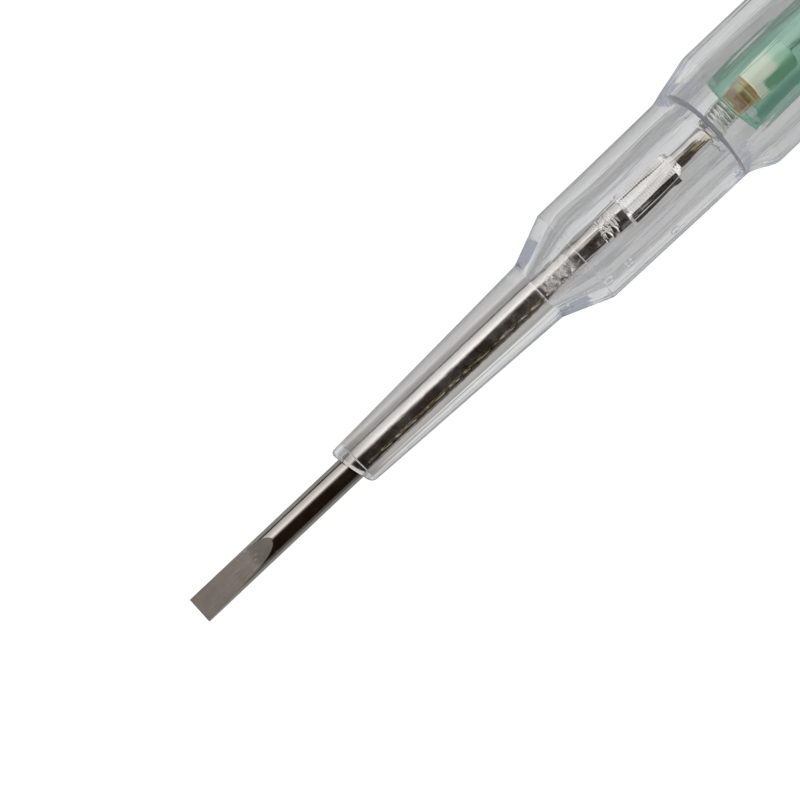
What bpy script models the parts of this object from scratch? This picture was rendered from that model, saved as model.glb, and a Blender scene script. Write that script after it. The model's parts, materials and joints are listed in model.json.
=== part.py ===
"""A voltage tester screwdriver: a slotted blade on a nickel-plated rod, a clear moulded handle,
a green cartridge that holds a resistor and a neon lamp between two springs, and a screw cap with
a pocket clip.

Units are metres, +Z is up. The tool lies on the flat under its grip. Its axis runs along X, with
the blade's tip towards -X. Stations along the tool are measured from that tip.
"""

import math

import bmesh
import bpy
from mathutils import Matrix, Vector

mm = 0.001

# Fits
seat_gap = 0.3 * mm
slide_gap = 0.2 * mm
thread_gap = 0.3 * mm
cut_overrun = 2.0 * mm
merge_distance = 0.002 * mm
rounding_reach_share = 0.45

# Blade and shaft
rod_diameter = 3.0 * mm
exposed_length = 21.0 * mm
blade_tip_thickness = 0.56 * mm
blade_flat_length = 10.3 * mm
blade_knee_length_share = 0.72
blade_knee_height_share = 0.63
blade_exit_share = 1.06
blade_run_out_rounding = 20.0 * mm
blade_turn = math.radians(11.5)
coin_turn = math.radians(3.0)
coin_length = 7.2 * mm
coin_height = 2.5 * mm
coin_width = 3.9 * mm
coin_end_slope = 0.7 * mm
coin_sides = 8
coin_end_height_share = 0.8
coin_core_height_share = 0.9
tail_length = 4.6 * mm
tail_step = 0.3 * mm
tail_chamfer = 0.2 * mm
notch_count = 4
notch_pitch = 0.8 * mm
notch_width = 0.35 * mm
notch_depth = 0.25 * mm
notch_row_gap = 0.5 * mm

# Clear handle, outside
sleeve_length = 26.0 * mm
sleeve_front_wall = 0.85 * mm
sleeve_taper = 0.98 * mm
flare_length = 5.2 * mm
front_body_wall = 2.65 * mm
front_body_draft = 0.15 * mm
front_body_length = 17.3 * mm
shoulder_length = 4.1 * mm
grip_rear_wall = 1.35 * mm
grip_length = 53.4 * mm
underside_flat_width = 2.8 * mm
nose_rounding = 0.55 * mm
edge_rounding = 0.9 * mm
end_rounding = 0.5 * mm
nose_slant = math.radians(12.4)
neck_slant = math.radians(11.2)

# Clear handle, inside
chamber_diameter = 6.0 * mm
chamber_cone_start = 3.2 * mm
chamber_cone_length = 2.6 * mm
chamber_past_neck = 0.7 * mm
bore_step_length = 0.35 * mm
cartridge_bore_diameter = 7.7 * mm

# Side grooves of the grip
groove_count = 8
groove_pitch = math.radians(9.0)
groove_radius = 0.42 * mm
groove_depth = 0.12 * mm
groove_run_out = 1.4 * mm
groove_clear_share = 1.6
groove_start_share = 0.25
groove_full_share = 0.6
groove_end_margin = 7.0 * mm

# Cartridge
tube_stand_off = 3.4 * mm
tube_length = 35.9 * mm
tube_wall = 0.7 * mm
tube_lip = 2.3 * mm
tube_hole_diameter = 3.6 * mm
tube_rounding = 0.8 * mm
tube_wall_rounding = 0.2 * mm

# Resistor
resistor_recess = 0.4 * mm
resistor_cap_wall = 0.3 * mm
resistor_rim_length = 0.4 * mm
resistor_rim_height = 0.35 * mm
resistor_body_length = 4.9 * mm
resistor_rounding = 0.7 * mm
lead_diameter = 0.6 * mm
lead_socket_depth = 1.0 * mm
lead_kink_shares = (0.4, 0.5, 0.6)

# Neon lamp
lamp_glass_length = 13.0 * mm
lamp_glass_wall = 0.4 * mm
lamp_dome_rounding = 1.1 * mm
lamp_cap_wall = 0.4 * mm
lamp_cap_length = 2.6 * mm
electrode_offset = 0.75 * mm
electrode_overlap = 5.5 * mm
electrode_crank = 1.3 * mm

# Contact button behind the lamp
button_flange = 0.8 * mm
button_boss_length = 2.0 * mm
button_pip_diameter = 1.6 * mm
button_pip_length = 0.7 * mm

# Springs
front_spring_wire = 0.3 * mm
rear_spring_wire = 0.5 * mm
rear_spring_side_gap = 0.4 * mm
spring_clear_gap = 0.44 * mm
points_per_curl = 10

# Thread insert and screw cap
insert_length = 9.6 * mm
insert_step = 0.65 * mm
insert_wall = 1.0 * mm
insert_knurl_count = 18
insert_knurl_depth = 0.25 * mm
shank_length = 8.0 * mm
shank_wall = 1.1 * mm
shank_rounding = 0.3 * mm
plug_floor = 1.6 * mm
plug_flange_length = 1.6 * mm
plug_post_diameter = 5.0 * mm
cap_step = 0.75 * mm
cap_length = 10.6 * mm
cap_wall = 0.5 * mm
cap_rounding = 0.9 * mm
cap_knurl_count = 24
cap_knurl_depth = 0.25 * mm
cap_knurl_margin = 1.7 * mm
rivet_head_diameter = 4.2 * mm
rivet_head_height = 0.5 * mm
rivet_head_rounding = 0.15 * mm
rivet_shank_diameter = 1.8 * mm
rivet_shank_length = 4.4 * mm

# Pocket clip and its washer
clip_ring_thickness = 0.7 * mm
clip_ring_step = 0.85 * mm
clip_thickness = 0.55 * mm
clip_root_width = 6.0 * mm
clip_tip_width = 3.6 * mm
clip_end_width_share = 0.6
clip_length = 38.0 * mm
clip_rear_height = 2.0 * mm
clip_front_height = 1.3 * mm
clip_bulb_length = 3.2 * mm
clip_tip_height = 1.5 * mm
clip_bend_rounding = 1.2 * mm
clip_bulb_rounding = 2.4 * mm
clip_root_overlap = 1.0 * mm
washer_thickness = 0.4 * mm
washer_step = 1.15 * mm

# Facets
handle_steps = 48
piece_steps = 32
small_steps = 24
knurl_steps = 3
arc_steps = 3

# Radii, from the axis outwards
rod_radius = rod_diameter / 2
tail_radius = rod_radius - tail_step
rod_bore_radius = rod_radius + slide_gap
sleeve_front_radius = rod_bore_radius + sleeve_front_wall
sleeve_rear_radius = sleeve_front_radius + sleeve_taper
chamber_radius = chamber_diameter / 2
body_radius = chamber_radius + front_body_wall
neck_radius = body_radius + front_body_draft
cartridge_bore_radius = cartridge_bore_diameter / 2
tube_radius = cartridge_bore_radius - slide_gap
tube_bore_radius = tube_radius - tube_wall
tube_hole_radius = tube_hole_diameter / 2
resistor_radius = tube_hole_radius - slide_gap
lead_radius = lead_diameter / 2
lead_hole_radius = lead_radius + slide_gap
lamp_cap_radius = tube_bore_radius - slide_gap
lamp_cap_bore_radius = lamp_cap_radius - lamp_cap_wall
lamp_radius = lamp_cap_bore_radius - slide_gap
insert_bore_radius = cartridge_bore_radius + insert_step
insert_radius = insert_bore_radius + insert_wall
insert_seat_radius = insert_radius + seat_gap
grip_radius = insert_seat_radius + grip_rear_wall
shank_radius = insert_bore_radius - thread_gap
shank_bore_radius = shank_radius - shank_wall
collar_bore_radius = shank_radius + thread_gap
cap_radius = grip_radius - cap_step
cap_bore_radius = cap_radius - cap_wall
front_spring_radius = tube_hole_radius - slide_gap
rear_spring_radius = shank_bore_radius - rear_spring_side_gap

# Stations along the axis, from the blade's tip
nose_x = exposed_length
sleeve_end_x = nose_x + sleeve_length
flare_end_x = sleeve_end_x + flare_length
neck_x = flare_end_x + front_body_length
shoulder_x = neck_x + shoulder_length
handle_end_x = shoulder_x + grip_length
chamber_front_x = sleeve_end_x + chamber_cone_start
chamber_full_x = chamber_front_x + chamber_cone_length
bore_step_x = neck_x + chamber_past_neck
shaft_end_x = bore_step_x + seat_gap
coin_end_x = shaft_end_x - tail_length
coin_x = coin_end_x - coin_length
tube_x = bore_step_x + tube_stand_off
tube_end_x = tube_x + tube_length
resistor_x = tube_x + resistor_recess
resistor_rim_x = tube_x + tube_lip + seat_gap
resistor_cap_end_x = resistor_rim_x + resistor_rim_length
resistor_body_x = resistor_cap_end_x + seat_gap
resistor_end_x = resistor_body_x + resistor_body_length
button_x = tube_end_x + seat_gap
button_end_x = button_x + button_flange
lamp_end_x = button_x - button_boss_length - seat_gap
lamp_x = lamp_end_x - lamp_glass_length - 2 * lamp_cap_wall - 2 * seat_gap
insert_x = handle_end_x - seat_gap - insert_length
clip_x = handle_end_x + seat_gap
washer_x = clip_x + clip_ring_thickness + seat_gap
cap_x = washer_x + washer_thickness + seat_gap
cap_end_x = cap_x + cap_length
overall_length = cap_end_x + rivet_head_height
shank_x = cap_x - shank_length
plug_floor_x = cap_x - plug_floor

# The tool lies on the flat under its grip, with one long edge of its clip just over the ground
rest_height = math.sqrt(grip_radius**2 - (underside_flat_width / 2) ** 2)
clip_crest_radius = grip_radius + clip_rear_height + clip_thickness
clip_corner_reach = math.hypot(clip_crest_radius, clip_root_width / 2)
clip_corner_angle = math.atan2(clip_root_width / 2, clip_crest_radius)
clip_drop = math.asin(rest_height / clip_corner_reach) - clip_corner_angle
clip_side_reach = clip_corner_reach * math.cos(clip_drop - clip_corner_angle)
axis_y = (clip_side_reach - grip_radius) / 2


def clear_scene():
    for old in list(bpy.data.objects):
        bpy.data.objects.remove(old, do_unlink=True)


def new_collection(name):
    collection = bpy.data.collections.new(name)
    bpy.context.scene.collection.children.link(collection)
    return collection


def add_object(name, data, collection):
    obj = bpy.data.objects.new(name, data)
    collection.objects.link(obj)
    return obj


def material(name, colour, roughness, metallic=0.0, transmission=0.0):
    made = bpy.data.materials.new(name)
    made.use_nodes = True
    made.diffuse_color = (*colour, 1.0)
    shader = made.node_tree.nodes["Principled BSDF"]
    shader.inputs["Base Color"].default_value = (*colour, 1.0)
    shader.inputs["Roughness"].default_value = roughness
    shader.inputs["Metallic"].default_value = metallic
    shader.inputs["Transmission Weight"].default_value = transmission
    return made


def finished(obj, look, sharp_degrees=35):
    """Smooth shading with sharp edges kept, and the piece's material."""
    obj.data.shade_smooth()
    obj.data.set_sharp_from_angle(angle=math.radians(sharp_degrees))
    obj.data.materials.append(look)
    return obj


def rounded(corners, closed=False):
    """Points of an outline whose corners are (x, height, rounding), with an arc at each rounding."""
    points = []
    last = len(corners) - 1
    for i, (x, height, rounding) in enumerate(corners):
        here = Vector((x, height))
        if not rounding or (not closed and i in (0, last)):
            points.append(here)
            continue
        before = Vector(corners[i - 1][:2]) - here
        after = Vector(corners[i + 1 if i < last else 0][:2]) - here
        half_angle = before.angle(after) / 2
        longest = rounding_reach_share * min(before.length, after.length)
        reach = min(rounding / math.tan(half_angle), longest)
        radius = reach * math.tan(half_angle)
        middle = (before.normalized() + after.normalized()).normalized()
        centre = here + middle * (radius / math.sin(half_angle))
        start = here + before.normalized() * reach - centre
        end = here + after.normalized() * reach - centre
        sweep = -start.angle_signed(end)
        for step in range(arc_steps + 1):
            points.append(centre + Matrix.Rotation(sweep * step / arc_steps, 2) @ start)
    return points


def realised(obj):
    """The object as a plain closed mesh, with its modifiers carried out and its doubles welded."""
    bpy.context.view_layer.update()
    evaluated = obj.evaluated_get(bpy.context.evaluated_depsgraph_get())
    mesh = bpy.data.meshes.new_from_object(evaluated)
    place = obj.matrix_world.copy()
    name = obj.name
    home = obj.users_collection[0]
    bpy.data.objects.remove(obj, do_unlink=True)
    weld = bmesh.new()
    weld.from_mesh(mesh)
    bmesh.ops.remove_doubles(weld, verts=weld.verts, dist=merge_distance)
    bmesh.ops.recalc_face_normals(weld, faces=weld.faces)
    weld.to_mesh(mesh)
    weld.free()
    made = add_object(name, mesh, home)
    made.matrix_world = place
    return made


def turned(name, outline, collection, steps=piece_steps, closed=False, start_angle=0.0):
    """A piece turned about the X axis from an outline of (station, radius) points."""
    mesh = bpy.data.meshes.new(name)
    turn = Matrix.Rotation(start_angle, 3, "X")
    verts = [turn @ Vector((x, radius, 0)) for x, radius in outline]
    edges = [(i, i + 1) for i in range(len(outline) - 1)]
    if closed:
        edges.append((len(outline) - 1, 0))
    mesh.from_pydata(verts, edges, [])
    obj = add_object(name, mesh, collection)
    screw = obj.modifiers.new("turn", "SCREW")
    screw.axis = "X"
    screw.angle = math.tau
    screw.steps = steps
    screw.render_steps = steps
    screw.use_merge_vertices = True
    screw.merge_threshold = merge_distance
    return realised(obj)


def ring(name, x0, x1, inner, outer, collection, steps=piece_steps):
    outline = [(x1, outer), (x0, outer), (x0, inner), (x1, inner)]
    return turned(name, outline, collection, steps, closed=True)


def wire(name, points, radius, collection, resolution=2):
    """A round wire along straight runs between points, with closed ends."""
    curve = bpy.data.curves.new(name, "CURVE")
    curve.dimensions = "3D"
    curve.bevel_depth = radius
    curve.bevel_resolution = resolution
    curve.use_fill_caps = True
    spline = curve.splines.new("POLY")
    spline.points.add(len(points) - 1)
    for point, place in zip(spline.points, points):
        point.co = (*place, 1.0)
    return realised(add_object(name, curve, collection))


def side_profile_block(name, outline, half_width, side, collection):
    """A block across the tool from an outline of (station, height) points, above or below the axis."""
    curve = bpy.data.curves.new(name, "CURVE")
    curve.dimensions = "2D"
    curve.fill_mode = "BOTH"
    curve.extrude = half_width
    spline = curve.splines.new("POLY")
    spline.points.add(len(outline) - 1)
    spline.use_cyclic_u = True
    for point, (x, height) in zip(spline.points, outline):
        point.co = (x, height, 0, 1.0)
    obj = add_object(name, curve, collection)
    obj.rotation_euler.x = side * math.pi / 2
    return realised(obj)


def block(name, size, place, collection):
    mesh = bpy.data.meshes.new(name)
    work = bmesh.new()
    bmesh.ops.create_cube(work, size=1.0, matrix=Matrix.Diagonal((*size, 1.0)))
    work.to_mesh(mesh)
    work.free()
    obj = add_object(name, mesh, collection)
    obj.location = place
    return obj


def cut(obj, cutters):
    """The object less every cutter. The cutters stay, as wires that don't render."""
    for cutter in cutters:
        cutter.hide_render = True
        cutter.display_type = "WIRE"
        modifier = obj.modifiers.new("cut", "BOOLEAN")
        modifier.operation = "DIFFERENCE"
        modifier.solver = "EXACT"
        modifier.object = cutter
    return realised(obj)


def joined(obj, other):
    modifier = obj.modifiers.new("join", "BOOLEAN")
    modifier.operation = "UNION"
    modifier.solver = "EXACT"
    modifier.object = other
    made = realised(obj)
    bpy.data.objects.remove(other, do_unlink=True)
    return made


def knurl(obj, count, depth, x0, x1, outer):
    """Presses straight flutes into a turned piece, whose facets are a multiple of their count."""
    spacing = math.tau / count
    for vertex in obj.data.vertices:
        radial = math.hypot(vertex.co.y, vertex.co.z)
        within = x0 - merge_distance <= vertex.co.x <= x1 + merge_distance
        if not within or radial < outer - merge_distance:
            continue
        angle = math.atan2(vertex.co.z, vertex.co.y) % spacing
        if min(angle, spacing - angle) < spacing / (2 * knurl_steps):
            vertex.co.y *= (radial - depth) / radial
            vertex.co.z *= (radial - depth) / radial


def blade_cutters(collection):
    """Two blocks whose inner sides are the blade's ground faces: a straight taper and a run-out."""
    tip = blade_tip_thickness / 2
    exit_x = blade_flat_length * blade_exit_share
    outside = rod_diameter + cut_overrun
    corners = [
        (-cut_overrun, tip, 0),
        (0, tip, 0),
        (
            blade_flat_length * blade_knee_length_share,
            rod_radius * blade_knee_height_share,
            blade_run_out_rounding,
        ),
        (exit_x, rod_radius * blade_exit_share, 0),
        (exit_x, outside, 0),
        (-cut_overrun, outside, 0),
    ]
    outline = rounded(corners, closed=True)
    return [side_profile_block("blade_cutter", outline, outside, side, collection) for side in (1, -1)]


def notch_cutters(collection):
    """A row of small cross cuts above and below the rod, ahead of its coined stretch."""
    size = (notch_width, rod_diameter, cut_overrun)
    height = rod_radius - notch_depth + cut_overrun / 2
    cutters = []
    for i in range(notch_count):
        x = coin_x - notch_row_gap - (i + 1) * notch_pitch + notch_width / 2
        for side in (1, -1):
            cutters.append(block("notch_cutter", size, (x, 0, side * height), collection))
    return cutters


def coined_stretch(collection):
    """The squeezed stretch of the rod: flat sides, wider than it is high, with sloped ends."""
    corner_radius = coin_height / 2 / math.cos(math.pi / coin_sides)
    end_radius = rod_radius * coin_end_height_share
    outline = [
        (coin_end_x, 0),
        (coin_end_x, end_radius),
        (coin_end_x - coin_end_slope, corner_radius),
        (coin_x + coin_end_slope, corner_radius),
        (coin_x, end_radius),
        (coin_x, 0),
    ]
    start = math.pi / coin_sides
    made = turned("coined_stretch", outline, collection, coin_sides, start_angle=start)
    for vertex in made.data.vertices:
        vertex.co.y *= coin_width / coin_height
    made.data.transform(Matrix.Rotation(blade_turn + coin_turn, 4, "X"))
    return made


def make_blade_shaft(parts, cutters, look):
    core_radius = coin_height / 2 * coin_core_height_share
    inset = coin_end_slope / 2
    outline = [
        (shaft_end_x, 0),
        (shaft_end_x, tail_radius - tail_chamfer),
        (shaft_end_x - tail_chamfer, tail_radius),
        (coin_end_x - inset, tail_radius),
        (coin_end_x - inset, core_radius),
        (coin_x + inset, core_radius),
        (coin_x + inset, rod_radius),
        (0, rod_radius),
        (0, 0),
    ]
    shaft = turned("blade_shaft", outline, parts)
    shaft = joined(shaft, coined_stretch(parts))
    shaft = cut(shaft, blade_cutters(cutters) + notch_cutters(cutters))
    shaft.data.transform(Matrix.Rotation(-blade_turn, 4, "X"))
    return finished(shaft, look)


def groove_path(angle):
    """The line that a groove's round cutter follows, down onto the shoulder and along the grip."""
    rise = groove_radius - groove_depth
    clear = groove_radius * groove_clear_share
    end_x = handle_end_x - groove_end_margin
    step = grip_radius - neck_radius
    line = [
        (neck_x + shoulder_length * groove_start_share, neck_radius + step * groove_start_share + clear),
        (neck_x + shoulder_length * groove_full_share, neck_radius + step * groove_full_share + rise),
        (shoulder_x, grip_radius + rise),
        (end_x, grip_radius + rise),
        (end_x + groove_run_out, grip_radius + clear),
    ]
    return [(x, radius * math.cos(angle), radius * math.sin(angle)) for x, radius in line]


def groove_cutters(collection):
    cutters = []
    for side in (0, math.pi):
        for i in range(groove_count):
            angle = side + (i - (groove_count - 1) / 2) * groove_pitch
            cutters.append(wire("groove_cutter", groove_path(angle), groove_radius, collection, 1))
    return cutters


def underside_cutter(collection):
    """A block whose top leaves a narrow flat along the grip, so that the tool doesn't roll."""
    length = handle_end_x + cut_overrun - neck_x
    size = (length, 2 * grip_radius, cut_overrun)
    place = (neck_x + length / 2, 0, -rest_height - cut_overrun / 2)
    return block("underside_cutter", size, place, collection)


def make_handle(parts, cutters, look):
    insert_floor_x = insert_x - seat_gap
    corners = [
        (handle_end_x, grip_radius, end_rounding),
        (shoulder_x, grip_radius, edge_rounding),
        (neck_x, neck_radius, edge_rounding),
        (flare_end_x, body_radius, edge_rounding),
        (sleeve_end_x, sleeve_rear_radius, edge_rounding),
        (nose_x, sleeve_front_radius, nose_rounding),
        (nose_x, rod_bore_radius, 0),
        (chamber_front_x, rod_bore_radius, 0),
        (chamber_full_x, chamber_radius, edge_rounding),
        (bore_step_x, chamber_radius, 0),
        (bore_step_x + bore_step_length, cartridge_bore_radius, 0),
        (insert_floor_x, cartridge_bore_radius, 0),
        (insert_floor_x, insert_seat_radius, 0),
        (handle_end_x, insert_seat_radius, 0),
    ]
    handle = turned("handle", rounded(corners, closed=True), parts, handle_steps, closed=True)
    slant_nose_and_neck(handle)
    handle = cut(handle, groove_cutters(cutters) + [underside_cutter(cutters)])
    return finished(handle, look, sharp_degrees=25)


def slant_nose_and_neck(handle):
    """Leans the nose's face and the edge at the foot of the shoulder, as the moulding does."""
    nose_reach = nose_x + 2 * nose_rounding
    inner_reach = (chamber_radius + body_radius) / 2
    for vertex in handle.data.vertices:
        on_outside = math.hypot(vertex.co.y, vertex.co.z) > inner_reach
        if vertex.co.x < nose_reach:
            vertex.co.x -= vertex.co.y * math.tan(nose_slant)
        elif on_outside and abs(vertex.co.x - neck_x) < shoulder_length / 2:
            vertex.co.x -= vertex.co.y * math.tan(neck_slant)


def make_cartridge_tube(parts, look):
    lip_x = tube_x + tube_lip
    corners = [
        (tube_end_x, tube_radius, tube_wall_rounding),
        (tube_x, tube_radius, tube_rounding),
        (tube_x, tube_hole_radius, tube_wall_rounding),
        (lip_x, tube_hole_radius, 0),
        (lip_x, tube_bore_radius, 0),
        (tube_end_x, tube_bore_radius, 0),
    ]
    tube = turned("cartridge_tube", rounded(corners, closed=True), parts, closed=True)
    return finished(tube, look)


def make_resistor_cap(parts, look):
    """A thin cup whose rim bears on the back of the cartridge's lip."""
    floor_x = resistor_x + resistor_cap_wall
    bore_radius = resistor_radius - resistor_cap_wall
    rim_radius = resistor_radius + resistor_rim_height
    corners = [
        (floor_x, 0, 0),
        (floor_x, bore_radius, 0),
        (resistor_cap_end_x, bore_radius, 0),
        (resistor_cap_end_x, rim_radius, 0),
        (resistor_rim_x, rim_radius, 0),
        (resistor_rim_x, resistor_radius, 0),
        (resistor_x, resistor_radius, resistor_cap_wall),
        (resistor_x, 0, 0),
    ]
    return finished(turned("resistor_front_cap", rounded(corners), parts, small_steps), look)


def make_resistor_body(parts, look):
    spigot_radius = resistor_radius - resistor_cap_wall - slide_gap
    spigot_x = resistor_x + resistor_cap_wall + seat_gap
    socket_x = resistor_end_x - lead_socket_depth
    corners = [
        (socket_x, 0, 0),
        (socket_x, lead_hole_radius, 0),
        (resistor_end_x, lead_hole_radius, 0),
        (resistor_end_x, resistor_radius, resistor_rounding),
        (resistor_body_x, resistor_radius, 0),
        (resistor_body_x, spigot_radius, 0),
        (spigot_x, spigot_radius, 0),
        (spigot_x, 0, 0),
    ]
    return finished(turned("resistor_body", rounded(corners), parts, small_steps), look)


def make_resistor_lead(parts, look):
    """The wire from the resistor to the lamp, with the small kink that keeps it in tension."""
    start_x = resistor_end_x - lead_socket_depth + seat_gap
    end_x = lamp_x - seat_gap
    before, crest, after = [start_x + (end_x - start_x) * share for share in lead_kink_shares]
    line = [(start_x, 0, 0), (before, 0, 0), (crest, 0, lead_diameter), (after, 0, 0), (end_x, 0, 0)]
    return finished(wire("resistor_lead", line, lead_radius, parts), look)


def make_lamp_cap(name, end_x, inward, parts, look):
    """A cap crimped over one end of the lamp, with a hole for the electrode's wire."""
    corners = [
        (end_x, lamp_cap_radius, lamp_cap_wall / 2),
        (end_x + inward * lamp_cap_length, lamp_cap_radius, 0),
        (end_x + inward * lamp_cap_length, lamp_cap_bore_radius, 0),
        (end_x + inward * lamp_cap_wall, lamp_cap_bore_radius, 0),
        (end_x + inward * lamp_cap_wall, lead_hole_radius, 0),
        (end_x, lead_hole_radius, 0),
    ]
    return finished(turned(name, rounded(corners, closed=True), parts, small_steps, closed=True), look)


def make_electrode(name, end_x, inward, parts, look):
    """A wire from one end of the lamp, cranked off the axis so that it faces the other one."""
    glass_x = end_x + inward * (lamp_cap_wall + seat_gap + lamp_glass_wall)
    bend_x = glass_x + inward * electrode_crank / 2
    middle_x = (lamp_x + lamp_end_x) / 2
    height = inward * electrode_offset
    line = [
        (end_x, 0, 0),
        (bend_x, 0, 0),
        (bend_x + inward * electrode_crank, 0, height),
        (middle_x + inward * electrode_overlap / 2, 0, height),
    ]
    return finished(wire(name, line, lead_radius, parts), look)


def make_lamp_glass(parts, look):
    front = lamp_x + lamp_cap_wall + seat_gap
    rear = front + lamp_glass_length
    bore_radius = lamp_radius - lamp_glass_wall
    inner_rounding = lamp_dome_rounding - lamp_glass_wall
    corners = [
        (rear, lead_hole_radius, 0),
        (rear, lamp_radius, lamp_dome_rounding),
        (front, lamp_radius, lamp_dome_rounding),
        (front, lead_hole_radius, 0),
        (front + lamp_glass_wall, lead_hole_radius, 0),
        (front + lamp_glass_wall, bore_radius, inner_rounding),
        (rear - lamp_glass_wall, bore_radius, inner_rounding),
        (rear - lamp_glass_wall, lead_hole_radius, 0),
    ]
    outline = rounded(corners, closed=True)
    return finished(turned("lamp_glass", outline, parts, small_steps, closed=True), look)


def make_contact_button(parts, look):
    """A turned button that closes the cartridge and carries the lamp's current to the spring."""
    boss_radius = tube_bore_radius - slide_gap
    pip_radius = button_pip_diameter / 2
    outline = [
        (button_end_x + button_pip_length, 0),
        (button_end_x + button_pip_length, pip_radius),
        (button_end_x, pip_radius),
        (button_end_x, tube_radius),
        (button_x, tube_radius),
        (button_x, boss_radius),
        (button_x - button_boss_length, boss_radius),
        (button_x - button_boss_length, 0),
    ]
    return finished(turned("contact_button", outline, parts, small_steps), look)


def least_gap(points, wire_diameter):
    """The least clear gap between stretches of the wire that lie over half a curl apart."""
    least = math.inf
    for i, here in enumerate(points):
        for other in points[i + points_per_curl // 2 + 1 :]:
            least = min(least, (here - other).length - wire_diameter)
    return least


def make_spring(name, x0, x1, outer_radius, front_radius, wire_diameter, parts, look):
    """A compression spring. Its first curl widens from the front radius, and both ends of the wire
    run straight to the faces that the spring pushes."""
    full = outer_radius - wire_diameter / 2
    start_x = x0 + wire_diameter
    run = x1 - x0 - 2 * wire_diameter
    curls = max(1, math.floor(run / (wire_diameter + spring_clear_gap)))
    steps = curls * points_per_curl
    points = [Vector((x0, front_radius, 0))]
    for i in range(steps + 1):
        angle = math.tau * i / points_per_curl
        radius = front_radius + (full - front_radius) * min(1, i / points_per_curl)
        around = (radius * math.cos(angle), radius * math.sin(angle))
        points.append(Vector((start_x + run * i / steps, *around)))
    points.append(Vector((x1, full, 0)))
    print(f"{name}: {curls} curls, least gap to itself {least_gap(points, wire_diameter) / mm:.2f} mm")
    return finished(wire(name, points, wire_diameter / 2, parts, resolution=1), look, sharp_degrees=70)


def make_front_spring(parts, look):
    on_tail = tail_radius - tail_chamfer - front_spring_wire / 2
    x0 = shaft_end_x + seat_gap
    x1 = resistor_x - seat_gap
    return make_spring(
        "front_spring", x0, x1, front_spring_radius, on_tail, front_spring_wire, parts, look
    )


def make_rear_spring(parts, look):
    full = rear_spring_radius - rear_spring_wire / 2
    x0 = button_end_x + seat_gap
    x1 = plug_floor_x - seat_gap
    return make_spring("rear_spring", x0, x1, rear_spring_radius, full, rear_spring_wire, parts, look)


def make_thread_insert(parts, look):
    """A ring whose outside is knurled, so that the moulding holds it. The thread isn't modelled."""
    end_x = insert_x + insert_length
    steps = insert_knurl_count * knurl_steps
    insert = ring("thread_insert", insert_x, end_x, insert_bore_radius, insert_radius, parts, steps)
    knurl(insert, insert_knurl_count, insert_knurl_depth, insert_x, end_x, insert_radius)
    return finished(insert, look, sharp_degrees=25)


def clip_line():
    """The bent strip's middle line, as (station, height over the axis), from the ring to the tip."""
    half = clip_thickness / 2
    root_x = clip_x + clip_ring_thickness / 2
    tip_x = root_x - clip_length
    bulb_x = tip_x + clip_bulb_length
    leg_x = bulb_x + clip_bulb_length
    corners = [
        (root_x, grip_radius - clip_ring_step - clip_root_overlap, 0),
        (root_x, grip_radius + clip_rear_height + half, clip_bend_rounding),
        (leg_x, grip_radius + clip_front_height + half, clip_bulb_rounding),
        (bulb_x, grip_radius + seat_gap + half, clip_bulb_rounding),
        (tip_x, grip_radius + clip_tip_height + half, 0),
    ]
    return rounded(corners)


def clip_strip(collection):
    """A strip of sheet along the clip's line, which narrows towards the tip."""
    line = clip_line()
    root_x = line[0].x
    tip_x = line[-1].x
    verts = []
    for x, height in line:
        share = (x - tip_x) / (root_x - tip_x)
        half_width = (clip_tip_width + (clip_root_width - clip_tip_width) * share) / 2
        if x == tip_x:
            half_width *= clip_end_width_share
        verts += [(x, -half_width, height), (x, half_width, height)]
    faces = [(2 * i, 2 * i + 1, 2 * i + 3, 2 * i + 2) for i in range(len(line) - 1)]
    mesh = bpy.data.meshes.new("clip_strip")
    mesh.from_pydata(verts, [], faces)
    strip = add_object("clip_strip", mesh, collection)
    sheet = strip.modifiers.new("sheet", "SOLIDIFY")
    sheet.thickness = clip_thickness
    sheet.offset = 0.0
    sheet.use_even_offset = True
    return realised(strip)


def make_pocket_clip(parts, look):
    """A stamped clip: a flat ring under the cap and a bent strip along the grip."""
    end_x = clip_x + clip_ring_thickness
    ring_radius = grip_radius - clip_ring_step
    clip = ring("pocket_clip", clip_x, end_x, collar_bore_radius, ring_radius, parts)
    clip = joined(clip, clip_strip(parts))
    clip.rotation_euler.x = math.pi / 2 + clip_drop
    return finished(clip, look)


def make_clip_washer(parts, look):
    end_x = washer_x + washer_thickness
    outer = grip_radius - washer_step
    return finished(ring("clip_washer", washer_x, end_x, collar_bore_radius, outer, parts), look)


def make_cap_shell(parts, look):
    """The drawn outer cap, fluted between its two plain bands."""
    rivet_hole_radius = rivet_shank_diameter / 2 + slide_gap
    knurl_x0 = cap_x + cap_knurl_margin
    knurl_x1 = cap_end_x - cap_knurl_margin
    inside_x = cap_end_x - cap_wall
    corners = [
        (cap_end_x, rivet_hole_radius, 0),
        (cap_end_x, cap_radius, cap_rounding),
        (knurl_x1, cap_radius, 0),
        (knurl_x0, cap_radius, 0),
        (cap_x, cap_radius, cap_wall / 2),
        (cap_x, cap_bore_radius, 0),
        (inside_x, cap_bore_radius, 0),
        (inside_x, rivet_hole_radius, 0),
    ]
    steps = cap_knurl_count * knurl_steps
    shell = turned("cap_shell", rounded(corners, closed=True), parts, steps, closed=True)
    knurl(shell, cap_knurl_count, cap_knurl_depth, knurl_x0, knurl_x1, cap_radius)
    return finished(shell, look, sharp_degrees=25)


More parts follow.
